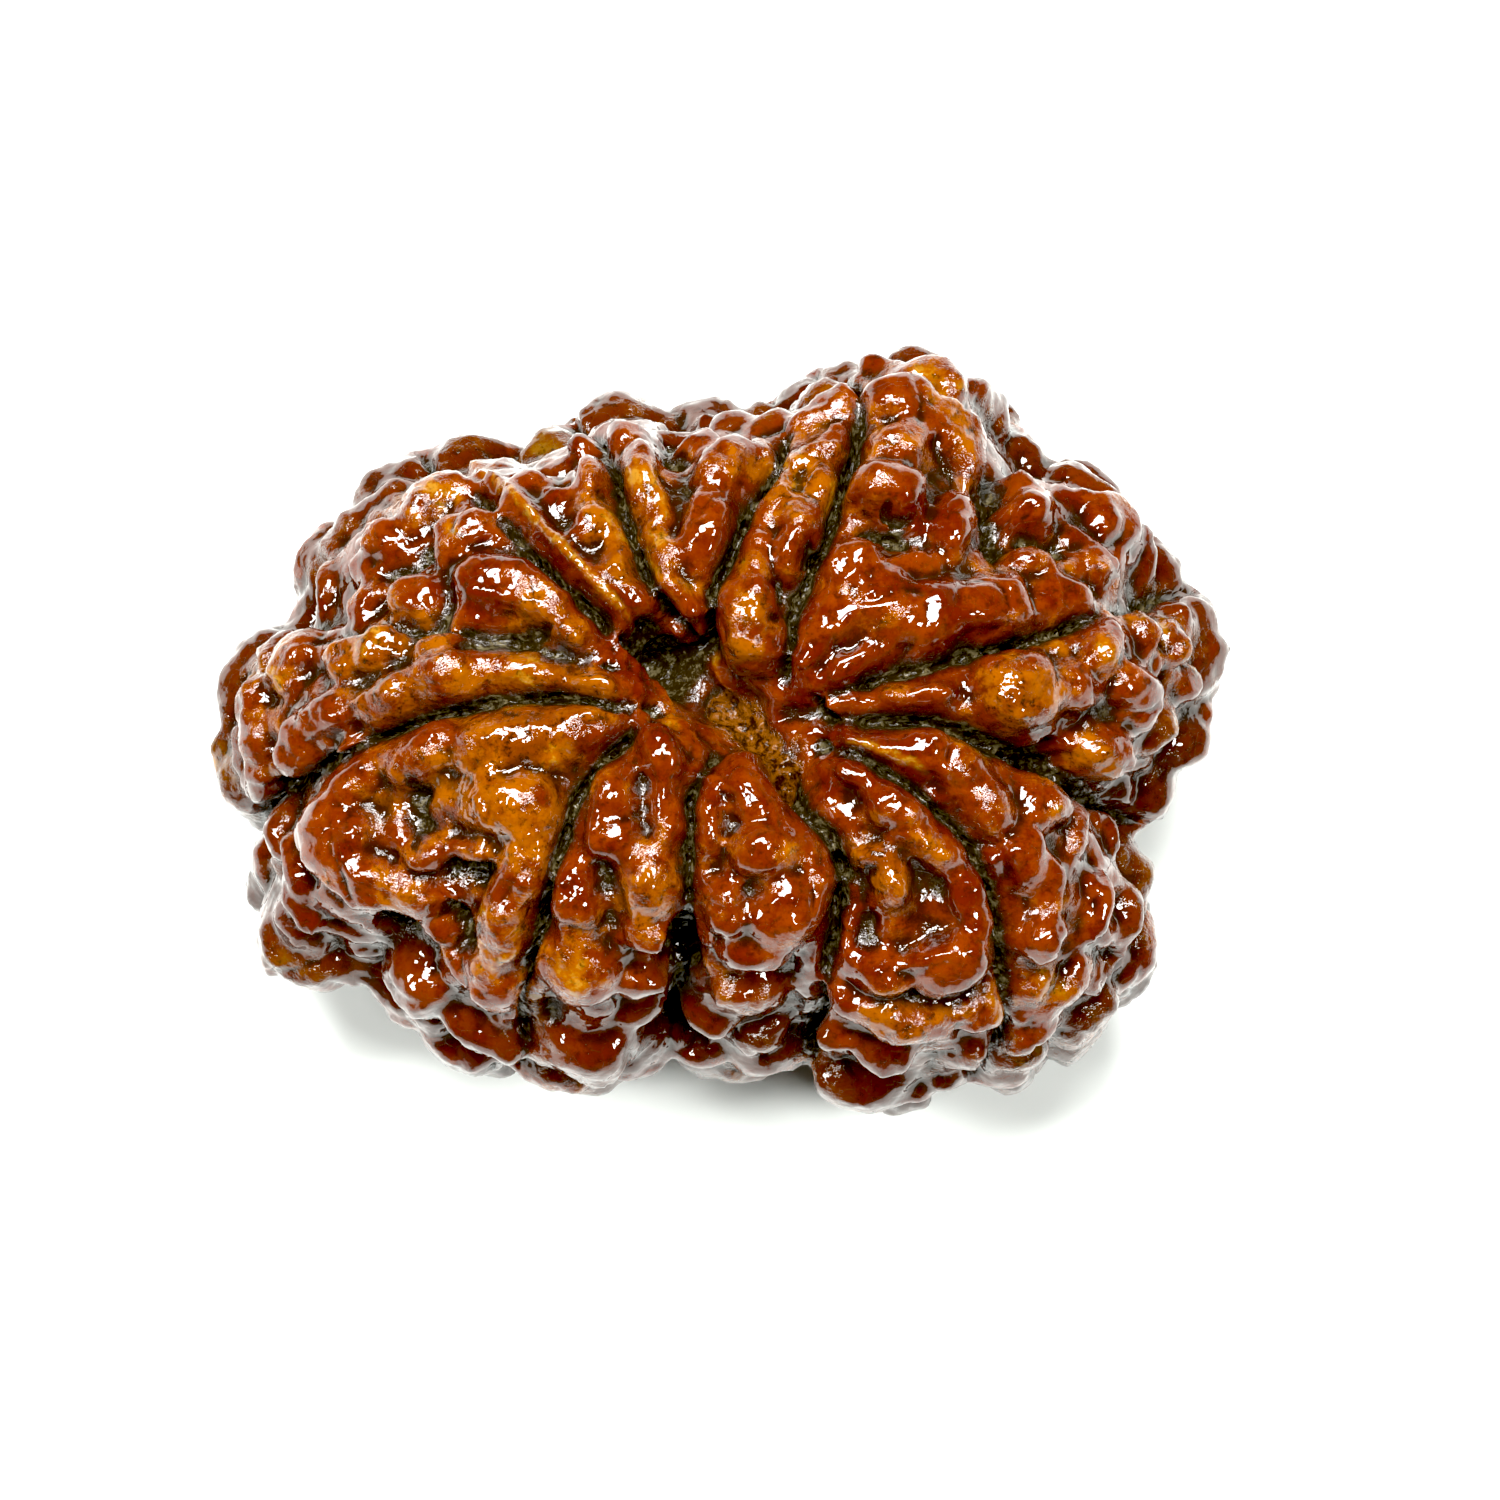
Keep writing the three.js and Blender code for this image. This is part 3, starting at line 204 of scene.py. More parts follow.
# Suture lines of the upper side, each from the pit out to the rim
sutures = [
    [[-1.0, 1.6], [-2.6, 2.6], [-3.6, 3.5], [-4.8, 4.5], [-5.8, 5.5], [-6.9, 6.7], [-7.9, 7.6], [-8.7, 8.1]],
    [[-0.4, 2.2], [-1.1, 3.2], [-1.9, 4.2], [-2.3, 5.1], [-2.8, 6.6], [-3.1, 7.8], [-3.6, 8.8], [-4.0, 9.3]],
    [[-0.2, 2.1], [-0.3, 3.2], [-0.1, 4.2], [0.3, 5.1], [0.7, 6.0], [1.1, 6.9], [1.8, 7.8], [2.0, 8.8]],
    [[1.9, 1.5], [2.2, 2.7], [2.4, 3.6], [2.7, 4.5], [3.2, 5.4], [3.6, 6.8], [4.1, 8.2],
     [4.3, 9.4], [4.1, 10.5]],
    [[2.8, 0.8], [4.6, 1.5], [6.5, 2.0], [8.1, 2.4], [9.6, 2.8], [11.0, 3.3], [12.2, 3.8], [13.5, 4.0]],
    [[2.9, 0.3], [4.8, 0.3], [6.6, 0.3], [8.2, -0.4], [9.6, -1.0], [10.8, -1.7], [11.6, -2.7]],
    [[2.8, -0.5], [4.3, -0.8], [5.6, -1.6], [6.8, -2.6], [7.7, -3.6], [8.2, -4.8], [8.5, -6.2], [8.7, -7.6],
     [8.5, -9.2], [8.0, -10.3]],
    [[1.9, -1.2], [2.6, -2.2], [3.5, -3.3], [3.9, -4.6], [3.6, -5.9], [3.3, -7.1], [3.0, -8.4], [2.6, -9.1]],
    [[0.1, -0.7], [-0.5, -1.4], [-0.8, -2.3], [-0.8, -3.6], [-0.9, -5.0], [-0.9, -6.4], [-1.1, -7.6]],
    [[-1.5, 0.4], [-2.8, -0.3], [-3.7, -1.2], [-4.3, -2.2], [-4.7, -3.6], [-5.1, -5.2], [-5.6, -6.8],
     [-5.8, -8.2], [-5.8, -9.5]],
    [[-1.5, 0.8], [-3.0, 0.7], [-4.8, 1.0], [-6.4, 0.9], [-7.9, 0.6], [-9.2, 0.2], [-10.5, -0.4],
     [-11.7, -1.1], [-12.9, -1.8], [-13.8, -2.4]],
    [[-1.6, 1.4], [-3.3, 1.9], [-5.0, 2.3], [-6.4, 2.8], [-7.9, 2.9], [-9.5, 3.0], [-10.9, 2.9],
     [-12.0, 2.7]],
]
sutureStrength = [1, 1, 1, 1, 1, 1.4, 1, 1.2, 0.8, 0.9, 1, 0.5]  # two gape, and the last is faint

# Below the rim they run on between two tilts, in degrees from the top pole, swaying a little
sutureRun = {"firstTilt": 84, "lastTilt": 158, "steps": 8, "sway": 0.06, "pointsBetween": 12}

# Lumps of the lower side: rows round the bead between two tilts, in degrees from the top pole
lower = {
    "rows": 8, "firstTilt": 92, "lastTilt": 158,
    "spacing": 2.5, "length": 2.3, "width": 1.65, "rise": 1.15,
    "girth": 12,                                            # the body's radius that sets how many fit a row
    "stagger": 0.2, "acrossDraw": 0.3, "tiltDraw": 0.1, "turnDraw": 1.6,    # how far a draw moves a lump
    "least": 0.75, "sizeDraw": 0.45,                        # sizes, as shares of the usual one
    "smallerBy": 0.25, "flatterBy": 0.5,                    # at the stalk end
}


# The skin of the stone without its lumps

def draw(n):  # a repeatable random number from 0 to 1
    s = math.sin(n * 12.9898 + 4.7) * 43758.5453
    return s - math.floor(s)


def outlineRadius(angle):  # a smooth closed curve through the outline's points
    degrees = np.degrees(angle) % 360
    i = np.searchsorted(outline[:, 0], degrees, side="right") - 1
    j = (i + 1) % len(outline)
    span = (outline[j, 0] - outline[i, 0]) % 360
    t = (degrees - outline[i, 0]) / span
    t = t * t * (3 - 2 * t)
    return outline[i, 1] + (outline[j, 1] - outline[i, 1]) * t


def smoothStep(value, low, high):
    t = np.clip((value - low) / (high - low), 0, 1)
    return t * t * (3 - 2 * t)


def reach(x, y):  # 0 at the stone's axis, 1 at the rim
    even = np.hypot(x / stone["evenLength"], y / stone["evenWidth"])
    distance = np.hypot(x, y)
    nearRim = smoothStep(even, stone["dipsFrom"], 1)
    evenRadius = distance / np.maximum(even, 1e-9)
    radius = evenRadius + (outlineRadius(np.arctan2(y, x)) - evenRadius) * nearRim
    return np.where(even < stone["dipsFrom"], even, distance / np.maximum(radius, 1e-9))


def pitDepth(x, y):
    turn = math.radians(pit["turn"])
    along = (x - pit["x"]) * math.cos(turn) + (y - pit["y"]) * math.sin(turn)
    aside = (y - pit["y"]) * math.cos(turn) - (x - pit["x"]) * math.sin(turn)
    return pit["depth"] * np.exp(-(along / pit["halfLength"]) ** 2 - (aside / pit["halfWidth"]) ** 2)


def topHeight(x, y):
    share = np.minimum(reach(x, y), 1)
    dome = np.sqrt(1 - share ** stone["roundnessAbove"])
    return widestLevel + stone["heightAbove"] * dome - pitDepth(x, y)


def level(p):  # 1 on the skin, less inside it and more outside
    x, y, z = p[..., 0], p[..., 1], p[..., 2]
    above = z > widestLevel
    height = np.where(above, stone["heightAbove"], stone["heightBelow"])
    lifted = np.where(above, z + pitDepth(x, y), z)
    power = np.where(above, stone["roundnessAbove"], stone["roundnessBelow"])
    return reach(x, y) ** power + ((lifted - widestLevel) / height) ** 2


def skinNormal(p):
    steps = np.eye(3) * 0.25
    slope = np.stack([level(p + s) - level(p - s) for s in steps], axis=-1)
    return slope / np.linalg.norm(slope, axis=-1, keepdims=True)


# A point of the even body under the skin, which has no dips, and its outward direction
def evenPoint(angle, tilt):
    above = tilt < math.pi / 2
    roundness = np.where(above, stone["roundnessAbove"], stone["roundnessBelow"])
    height = np.where(above, stone["heightAbove"], stone["heightBelow"])
    share = np.maximum(np.sin(tilt), 1e-9) ** (2 / roundness)
    a, b = stone["evenLength"], stone["evenWidth"]
    point = np.stack([share * a * np.cos(angle), share * b * np.sin(angle),
                      widestLevel + height * np.cos(tilt)], axis=-1)
    flat = roundness * share ** (roundness - 2)
    outward = np.stack([flat * point[..., 0] / a ** 2, flat * point[..., 1] / b ** 2,
                        2 * (point[..., 2] - widestLevel) / height ** 2], axis=-1)
    return point, outward / np.linalg.norm(outward, axis=-1, keepdims=True)


def skinPoint(angle, tilt):
    point, outward = evenPoint(np.asarray(angle, float), np.asarray(tilt, float))
    low = np.full(point.shape[:-1], -4.5)
    high = np.full(point.shape[:-1], 3.5)
    for _ in range(22):
        middle = (low + high) / 2
        outside = level(point + outward * middle[..., None]) > 1
        high = np.where(outside, middle, high)
        low = np.where(outside, low, middle)
    return point + outward * ((low + high) / 2)[..., None]


# The place on the upper skin that is seen at [across, up]. One past its edge goes to the rim
def seenPlace(across, up, rimShare):
    across, up, rimShare = (np.asarray(v, float) for v in (across, up, rimShare))
    edge = 0.985  # share of the way out where the upper side ends
    y, z = up.copy(), np.full(up.shape, widestLevel)
    for _ in range(40):
        nearer = (z - widestLevel) * math.sin(seenFrom) - y * math.cos(seenFrom)
        x = across * (1 - nearer / seenDistance)
        rise = up * (1 - nearer / seenDistance)
        y = y * 0.5 + (rise - (z - widestLevel) * math.cos(seenFrom)) / math.sin(seenFrom) * 0.5
        share = reach(x, y)
        pastEdge = share > edge
        pull = np.where(pastEdge, edge / share, 1)
        x, y = x * pull, y * pull
        z = topHeight(x, y)
    place = np.stack([x, y, z], axis=-1)
    tilt = stone["rimTilts"][0] + (stone["rimTilts"][1] - stone["rimTilts"][0]) * rimShare
    angle = np.arctan2(y / stone["evenWidth"], x / stone["evenLength"])
    return np.where(pastEdge[..., None], skinPoint(angle, np.radians(tilt)), place)


midRim = 0.3  # how far down the rim's tilts a path or patch goes that is laid out past the edge


def seenPath(ends, count):
    ends = np.array(ends)
    along = np.linspace(0, len(ends) - 1, count)
    corners = range(len(ends))
    across = np.interp(along, corners, ends[:, 0])
    up = np.interp(along, corners, ends[:, 1])
    return seenPlace(across, up, np.full(count, midRim))


# Small helpers

def deselectAll():
    for item in bpy.context.selected_objects:
        item.select_set(False)


def makeActive(item):
    deselectAll()
    item.select_set(True)
    bpy.context.view_layer.objects.active = item


def applyModifier(item, modifier):
    makeActive(item)
    bpy.ops.object.modifier_apply(modifier=modifier.name)


def getPoints(mesh):
    points = np.empty(len(mesh.vertices) * 3)
    mesh.vertices.foreach_get("co", points)
    return points.reshape(-1, 3)


def setPoints(mesh, points):
    mesh.vertices.foreach_set("co", points.astype(np.float32).ravel())
    mesh.update()


# The stone's even body, pulled to its skin

def makeCore():
    bpy.ops.mesh.primitive_ico_sphere_add(subdivisions=7, radius=1, location=(0, 0, 0))
    core = bpy.context.object
    core.name = "core"
    ball = getPoints(core.data)
    share = np.clip(np.hypot(ball[:, 0], ball[:, 1]), 0, 1)
    angle = np.arctan2(ball[:, 1], ball[:, 0])
    tilt = np.arcsin(share ** (stone["roundnessAbove"] / 2))
    setPoints(core.data, skinPoint(angle, np.where(ball[:, 2] > 0, tilt, math.pi - tilt)))
    return core


# Where a knob stands, how it is turned and how big it is, with its root sunk into the skin
def knobMatrix(place, normal, length, width, turn, rise):
    half = rise / stone["showing"]
    spread = 1 / math.sqrt(1 - (1 - stone["showing"]) ** 2)
    steep = 1 + stone["flankSpread"] * (1 - max(normal.z, 0))
    along = Vector((math.cos(turn), math.sin(turn), 0))
    along = (along - normal * along.dot(normal)).normalized()
    aside = normal.cross(along)
    axes = Matrix((along * (length / 2 * spread * steep), aside * (width / 2 * spread * steep),
                   normal * half))
    return Matrix.Translation(place + normal * (rise - half)) @ axes.transposed().to_4x4()


def usualRise(width):
    return 0.25 + width * 0.55


def upperKnobs():
    rows = [row if len(row) == 6 else [*row, usualRise(row[3])] for row in lumps]
    table = np.array(rows)
    places = seenPlace(table[:, 0], table[:, 1], np.array([draw(i) for i in range(len(rows))]))
    normals = skinNormal(places)
    return [knobMatrix(Vector(p), Vector(n), row[2], row[3], math.radians(row[4]), row[5] * stone["relief"])
            for p, n, row in zip(places, normals, rows)]


def sutureEndAngle(line):
    end = seenPlace(line[-1][0], line[-1][1], 0.5)
    return math.atan2(end[1] / stone["evenWidth"], end[0] / stone["evenLength"])


# Below the rim each rib between two sutures has its own rows of knobs
def lowerKnobs():
    made = []
    number = 1000
    angles = sorted(sutureEndAngle(line) % (2 * math.pi) for line in sutures)
    for start, end in zip(angles, angles[1:] + [angles[0] + 2 * math.pi]):
        for row in range(lower["rows"]):
            nearStalk = row / (lower["rows"] - 1)
            tilt = math.radians(lower["firstTilt"] + (lower["lastTilt"] - lower["firstTilt"]) * nearStalk)
            count = max(1, round((end - start) * lower["girth"] * math.sin(tilt) / lower["spacing"]))
            stagger = (row % 2 - 0.5) * lower["stagger"]
            for i in range(count):
                number += 7
                across = (i + 0.5 + (draw(number) - 0.5) * lower["acrossDraw"] + stagger) / count
                place = skinPoint(start + (end - start) * across,
                                  tilt + (draw(number + 1) - 0.5) * lower["tiltDraw"])
                turn = start + (draw(number + 2) - 0.5) * lower["turnDraw"]
                size = lower["least"] + draw(number + 3) * lower["sizeDraw"]
                size *= 1 - lower["smallerBy"] * nearStalk
                rise = lower["rise"] * size * (1 - lower["flatterBy"] * nearStalk ** 2)
                made.append(knobMatrix(Vector(place), Vector(skinNormal(place)), lower["length"] * size,
                                       lower["width"] * size, turn, rise))
    return made


def makeKnobs(matrices):
    bpy.ops.mesh.primitive_ico_sphere_add(subdivisions=3, radius=1, location=(0, 0, 0))
    model = bpy.context.object
    ball = getPoints(model.data)
    squared = (np.abs(ball) ** stone["squareness"]).sum(axis=1) ** (1 / stone["squareness"])
    setPoints(model.data, ball / squared[:, None])
    made = []
    for matrix in matrices:
        copy = model.copy()
        copy.data = model.data.copy()
        copy.matrix_world = matrix
        bpy.context.collection.objects.link(copy)
        made.append(copy)
    bpy.data.objects.remove(model)
    return made


# Each suture as points on the skin, over the rim and on to near the stalk end
def sutureLines():
    made = []
    first = sutureRun["firstTilt"]
    for line in sutures:
        steps = np.array(line, float)
        path = list(seenPlace(steps[:, 0], steps[:, 1], np.full(len(steps), 0.5)))
        angle = sutureEndAngle(line)
        for i in range(1, sutureRun["steps"] + 1):
            sway = sutureRun["sway"] * math.sin(i * 1.7 + angle * 5)
            tilt = first + (sutureRun["lastTilt"] - first) * i / sutureRun["steps"]
            path.append(skinPoint(angle + sway, math.radians(tilt)))
        fine = []
        for a, b in zip(path, path[1:]):
            for k in range(sutureRun["pointsBetween"]):
                fine.append(a + (b - a) * k / sutureRun["pointsBetween"])
        made.append(fine)
    return made


deselectAll()
core = makeCore()
knobs = makeKnobs(upperKnobs() + lowerKnobs())
print("core and", len(knobs), "knobs")

deselectAll()
for knob in knobs:
    knob.select_set(True)
core.select_set(True)
bpy.context.view_layer.objects.active = core
bpy.ops.object.join()
bead = core
bead.name = "oiledRudraksha"

# Knobs and skin are warped a little, so that no knob stays a plain egg
warp = {"seed": 4, "broadScale": 0.75, "broadReach": 0.25, "fineScale": 1.7, "fineReach": 0.15}
noise.seed_set(warp["seed"])


def warped(p):
    broad = noise.noise_vector(p * warp["broadScale"]) * warp["broadReach"]
    fine = noise.noise_vector(p * warp["fineScale"] + Vector((7, 3, 5))) * warp["fineReach"]
    return p + broad + fine


setPoints(bead.data, np.array([warped(Vector(p)) for p in getPoints(bead.data)]))

remesh = bead.modifiers.new("remesh", "REMESH")
remesh.mode = "VOXEL"
remesh.voxel_size = stone["voxel"]
applyModifier(bead, remesh)
smooth = bead.modifiers.new("smooth", "SMOOTH")
smooth.factor = 0.5
smooth.iterations = 1
applyModifier(bead, smooth)
print("remeshed to", len(bead.data.vertices), "points")


def relaxed(points, edges, rounds):  # each point goes halfway to its neighbours' middle, some times over
    count = len(points)
    degree = np.bincount(edges.ravel(), minlength=count)[:, None]
    a, b = edges[:, 0], edges[:, 1]
    for _ in range(rounds):
        sums = np.stack([np.bincount(a, points[b, k], count) + np.bincount(b, points[a, k], count)
                         for k in range(3)], axis=1)
        points = points * 0.5 + sums / degree * 0.5
    return points


def nearestDistance(points, path):
    tree = KDTree(len(path))
    for i, p in enumerate(path):
        tree.insert(p, i)
    tree.balance()
    return np.array([tree.find(p)[2] for p in points])


def noiseAt(points, scale):
    return np.array([noise.noise(Vector(p) * scale) for p in points])


def wavesAt(points, waves):
    return sum(noiseAt(points, scale) * size for scale, size in waves)


# Sutures and pits are pressed in, by how far the skin under each point is from them. All lengths are in mm
pressed = {
    "cutWidth": 0.165, "cutDepth": 0.8, "valleyWidth": 0.6, "valleyDepth": 0.15,
    "pitShare": 0.7,          # share of a pit's depth that the skin itself takes
    "throughKnobs": 0.5,      # how far cuts and pits go down through a knob that stands over them
    "wander": ((1.3, 0.3), (3.1, 0.15)),                   # noises as (scale per mm, size)
    "ripple": ((1.6, 0.12), (3.4, 0.05)),
    "cutSway": 0.25, "pitSway": 1.2, "crestSway": 0.35, "wornSway": 1.2,    # how far edges follow the wander
    "crestEnds": 1.6,         # the crests taper over this length
    "crestEven": 0.85,        # share of a crest that the wander leaves
    "fibreDepth": 0.35,
    "foldScale": 0.4, "foldDepth": 0.14, "foldWidth": 0.035,
}
points = getPoints(bead.data)
outward = skinNormal(points)
reachOut = 0.2  # how far to each side the skin's slope is measured
steps = np.eye(3) * reachOut
slope = np.stack([(level(points + s) - level(points - s)) / (reachOut * 2) for s in steps], axis=-1)
slope = np.linalg.norm(slope, axis=-1)
height = np.clip((level(points) - 1) / np.maximum(slope, 1e-6), -1.5, 2.5)  # over the skin
overSkin = pressed["throughKnobs"] * np.maximum(height, 0)
feet = points - outward * height[:, None]
wander = wavesAt(points, pressed["wander"])
sutureDistance = np.full(len(points), 9.0)
dip = np.zeros(len(points))
for path, strength in zip(sutureLines(), sutureStrength):
    distance = np.maximum(nearestDistance(feet, path) + wander * pressed["cutSway"], 0)
    cut = np.exp(-(distance / (pressed["cutWidth"] * strength)) ** 2) * (pressed["cutDepth"] + overSkin)
    valley = pressed["valleyDepth"] * np.exp(-(distance / pressed["valleyWidth"]) ** 2)
    dip += strength * (cut + valley)
    sutureDistance = np.minimum(sutureDistance, distance / strength)
for x1, y1, x2, y2, halfWidth, depth in pits:
    path = seenPath([[x1, y1], [x2, y2]], 12)
    distance = np.maximum(nearestDistance(feet, path) + wander * pressed["pitSway"], 0)
    dip += (depth * pressed["pitShare"] + overSkin) * np.exp(-(distance / halfWidth) ** 2)
crestShare = np.zeros(len(points))
for crest in crests:
    path = seenPath(crest["line"], 160)
    distance = nearestDistance(feet, path) + wander * pressed["crestSway"]
    taper = np.minimum(nearestDistance(feet, path[[0, -1]]) / pressed["crestEnds"], 1)
    share = np.exp(-(distance / crest["halfWidth"]) ** 2) * taper * (pressed["crestEven"] + wander)
    dip -= crest["rise"] * share
    crestShare = np.maximum(crestShare, share)
wornShare = np.zeros(len(points))
for x, y, radius in wornPatches:
    distance = np.linalg.norm(feet - seenPlace(x, y, midRim), axis=1) + wander * pressed["wornSway"]
    wornShare = np.maximum(wornShare, np.exp(-(distance / radius) ** 2))
path = seenPath([plug["from"], plug["to"]], 12)
plugShare = np.exp(-((nearestDistance(feet, path) + wander) / plug["halfWidth"]) ** 2)
fibreSpace = np.stack([points[:, 0] * 1.2 + points[:, 1] * 1.2, points[:, 0] * 4 - points[:, 1] * 4,
                       points[:, 2] * 3], axis=1)
dip -= plugShare * noiseAt(fibreSpace, 1) * pressed["fibreDepth"]
ripple = wavesAt(points, pressed["ripple"])
folds = np.array([noise.noise(Vector(p) * pressed["foldScale"] + Vector((3, 8, 1))) for p in points])
ripple -= pressed["foldDepth"] * np.exp(-(folds / pressed["foldWidth"]) ** 2)
points = points - outward * (dip - ripple)[:, None]
print("sutures and pits pressed in")

# Creases are made a little deeper, and the crowns left as they are
crease = {"rounds": 14, "deepen": 0.45, "from": 0.01, "nearRounds": 12, "wideRounds": 90}
edges = np.empty(len(bead.data.edges) * 2, dtype=np.int64)
bead.data.edges.foreach_get("vertices", edges)
edges = edges.reshape(-1, 2)


def standingOut(points, rounds):
    return ((points - relaxed(points, edges, rounds)) * outward).sum(axis=1)


deeper = crease["deepen"] * np.minimum(standingOut(points, crease["rounds"]) + crease["from"], 0)
points = relaxed(points + outward * deeper[:, None], edges, 1)
setPoints(bead.data, points)

# What the finish goes by: how deep each point lies among its near and its wider neighbours, which set the
# painted shade and dirt in creases and hollows, and the rest
near = standingOut(points, crease["nearRounds"])
wide = standingOut(points, crease["wideRounds"])
for name, values in (("near", near), ("wide", wide), ("suture", sutureDistance),
                     ("crest", crestShare), ("plug", plugShare), ("worn", wornShare),
                     ("steep", 1 - outward[:, 2])):
    attribute = bead.data.attributes.new(name, "FLOAT", "POINT")
    attribute.data.foreach_set("value", values.astype(np.float32))
print("creases deepened and attributes set")

# The flat spot it rests on
makeActive(bead)
bpy.ops.object.mode_set(mode="EDIT")
bpy.ops.mesh.select_all(action="SELECT")
bpy.ops.mesh.bisect(plane_co=(0, 0, 0), plane_no=(0, 0, -1), use_fill=True, clear_outer=True)
bpy.ops.object.mode_set(mode="OBJECT")
bead.data.transform(Matrix.Scale(metresPerUnit, 4))
bpy.ops.object.shade_smooth()
corners = [len(face.vertices) for face in bead.data.polygons]
print("bead has", sum(corners) - 2 * len(corners), "triangles")

finish = {
    "red": (0.112, 0.0175, 0.0003),
    "deepRed": (0.065, 0.0065, 0.0002),
    "amber": (0.172, 0.046, 0.0013),
    "paleAmber": (0.26, 0.13, 0.014),
    # umber: the colour of the real specks, and also of the painted shade in hollows, creases and on steep
    # sides
    "umberAndShade": (0.014, 0.004, 0.0006),
    "crevice": (0.013, 0.008, 0.003),
    "dust": (0.075, 0.06, 0.03),
    "fibre": (0.11, 0.037, 0.005),
    "coatRoughness": 0.05,
    "broadScale": 260, "patchyScale": 900, "fineScale": 3200,    # noises of the mottling, per metre
    "ridgeScale": 1100, "pebbleScale": 2600,                     # and of the bump
    "facetScale": 800, "smallFacetScale": 2000,
    "bumpDistance": 0.0001,
}

material = bpy.data.materials.new("oiledStone")
material.use_nodes = True
nodes = material.node_tree.nodes
links = material.node_tree.links
shader = nodes["Principled BSDF"]


def feed(source, target):
    if isinstance(source, bpy.types.NodeSocket):
        links.new(source, target)
    else:
        target.default_value = source


def attributeValue(name):
    node = nodes.new("ShaderNodeAttribute")
    node.attribute_name = name
    return node.outputs["Fac"]


def noiseValue(scale, detail=4, roughness=0.6, distortion=0.0):
    node = nodes.new("ShaderNodeTexNoise")
    links.new(coordinates.outputs["Object"], node.inputs["Vector"])
    node.inputs["Scale"].default_value = scale
    node.inputs["Detail"].default_value = detail
    node.inputs["Roughness"].default_value = roughness
    node.inputs["Distortion"].default_value = distortion
    return node.outputs["Fac"]


# Height of little facets: every cell is a plane tilted its own way
def facetHeight(scale):
    cells = nodes.new("ShaderNodeTexVoronoi")
    cells.inputs["Scale"].default_value = scale
    links.new(coordinates.outputs["Object"], cells.inputs["Vector"])
    away = nodes.new("ShaderNodeVectorMath")
    away.operation = "SUBTRACT"
    links.new(coordinates.outputs["Object"], away.inputs[0])
    links.new(cells.outputs["Position"], away.inputs[1])
    tilt = nodes.new("ShaderNodeVectorMath")
    tilt.operation = "SUBTRACT"
    links.new(cells.outputs["Color"], tilt.inputs[0])
    tilt.inputs[1].default_value = (0.5, 0.5, 0.5)
    rise = nodes.new("ShaderNodeVectorMath")
    rise.operation = "DOT_PRODUCT"
    links.new(away.outputs["Vector"], rise.inputs[0])
    links.new(tilt.outputs["Vector"], rise.inputs[1])
    return sum2(rise.outputs["Value"], scale, "MULTIPLY")


def sum2(a, b, kind="ADD"):
    node = nodes.new("ShaderNodeMath")
    node.operation = kind
    feed(a, node.inputs[0])
    feed(b, node.inputs[1])
    return node.outputs[0]


def remap(value, low, high, toLow=0.0, toHigh=1.0):
    node = nodes.new("ShaderNodeMapRange")
    node.interpolation_type = "SMOOTHSTEP"
    feed(value, node.inputs["Value"])
    node.inputs["From Min"].default_value = low
    node.inputs["From Max"].default_value = high
    node.inputs["To Min"].default_value = toLow
    node.inputs["To Max"].default_value = toHigh
    return node.outputs["Result"]


def blend(factor, a, b):
    node = nodes.new("ShaderNodeMix")
    node.data_type = "RGBA"
    feed(factor, node.inputs[0])
    feed((*a, 1) if isinstance(a, tuple) else a, node.inputs[6])
    feed((*b, 1) if isinstance(b, tuple) else b, node.inputs[7])
    return node.outputs[2]


coordinates = nodes.new("ShaderNodeTexCoord")
near = attributeValue("near")
wide = attributeValue("wide")
suture = attributeValue("suture")
crest = attributeValue("crest")
inPlug = attributeValue("plug")
worn = attributeValue("worn")
steep = attributeValue("steep")
broad = noiseValue(finish["broadScale"], 3)
patchy = noiseValue(finish["patchyScale"], 5, 0.7)
fine = noiseValue(finish["fineScale"], 4, 0.75)

# red with amber patches; painted shade makes it browner and darker in broad hollows, on steep sides and in
# creases
mottle = sum2(sum2(patchy, 0.8, "MULTIPLY"), broad)
patches = sum2(mottle, sum2(sum2(worn, 0.26, "MULTIPLY"), -0.045))
isAmber = remap(patches, 0.9, 1.05)
skinColour = blend(isAmber, finish["red"], finish["amber"])
skinColour = blend(remap(patches, 0.86, 0.72), skinColour, finish["deepRed"])
clouded = remap(patchy, 0.42, 0.62, 0.6, 0)
skinColour = blend(clouded, skinColour, finish["deepRed"])
paleSpots = remap(sum2(mottle, sum2(fine, 0.4, "MULTIPLY")), 1.28, 1.4)
skinColour = blend(sum2(paleSpots, 0.7, "MULTIPLY"), skinColour, finish["paleAmber"])
specks = remap(sum2(fine, sum2(sum2(patchy, -0.5), -0.3, "MULTIPLY")), 0.5, 0.68)
speckShare = sum2(specks, sum2(sum2(isAmber, 0.35, "MULTIPLY"), 0.55), "MULTIPLY")
skinColour = blend(speckShare, skinColour, finish["umberAndShade"])
# painted shade: umber laid into broad hollows, more the deeper a point lies among its wider neighbours
hollowShade = remap(sum2(wide, sum2(sum2(patchy, -0.5), 0.5, "MULTIPLY")), -0.42, 0.12, 1, 0)
skinColour = blend(sum2(hollowShade, 0.8, "MULTIPLY"), skinColour, finish["umberAndShade"])
# painted shade: the steeper the side, the more umber, as if less lit from above
steepShade = remap(sum2(steep, sum2(sum2(patchy, -0.5), 1.2, "MULTIPLY")), 0.5, 1.05)
skinColour = blend(sum2(steepShade, 0.55, "MULTIPLY"), skinColour, finish["umberAndShade"])
# painted shade: umber in the narrow creases between lumps, by how deep each point lies among its near
# neighbours
creaseShade = remap(sum2(near, sum2(sum2(patchy, -0.5), 0.12, "MULTIPLY")), -0.09, 0.02, 1, 0)
skinColour = blend(sum2(creaseShade, 0.9, "MULTIPLY"), skinColour, finish["umberAndShade"])

# thin crests are worn paler
crestColour = blend(remap(fine, 0.45, 0.6), finish["amber"], finish["paleAmber"])
skinColour = blend(sum2(remap(crest, 0.25, 0.8), 0.75, "MULTIPLY"), skinColour, crestColour)
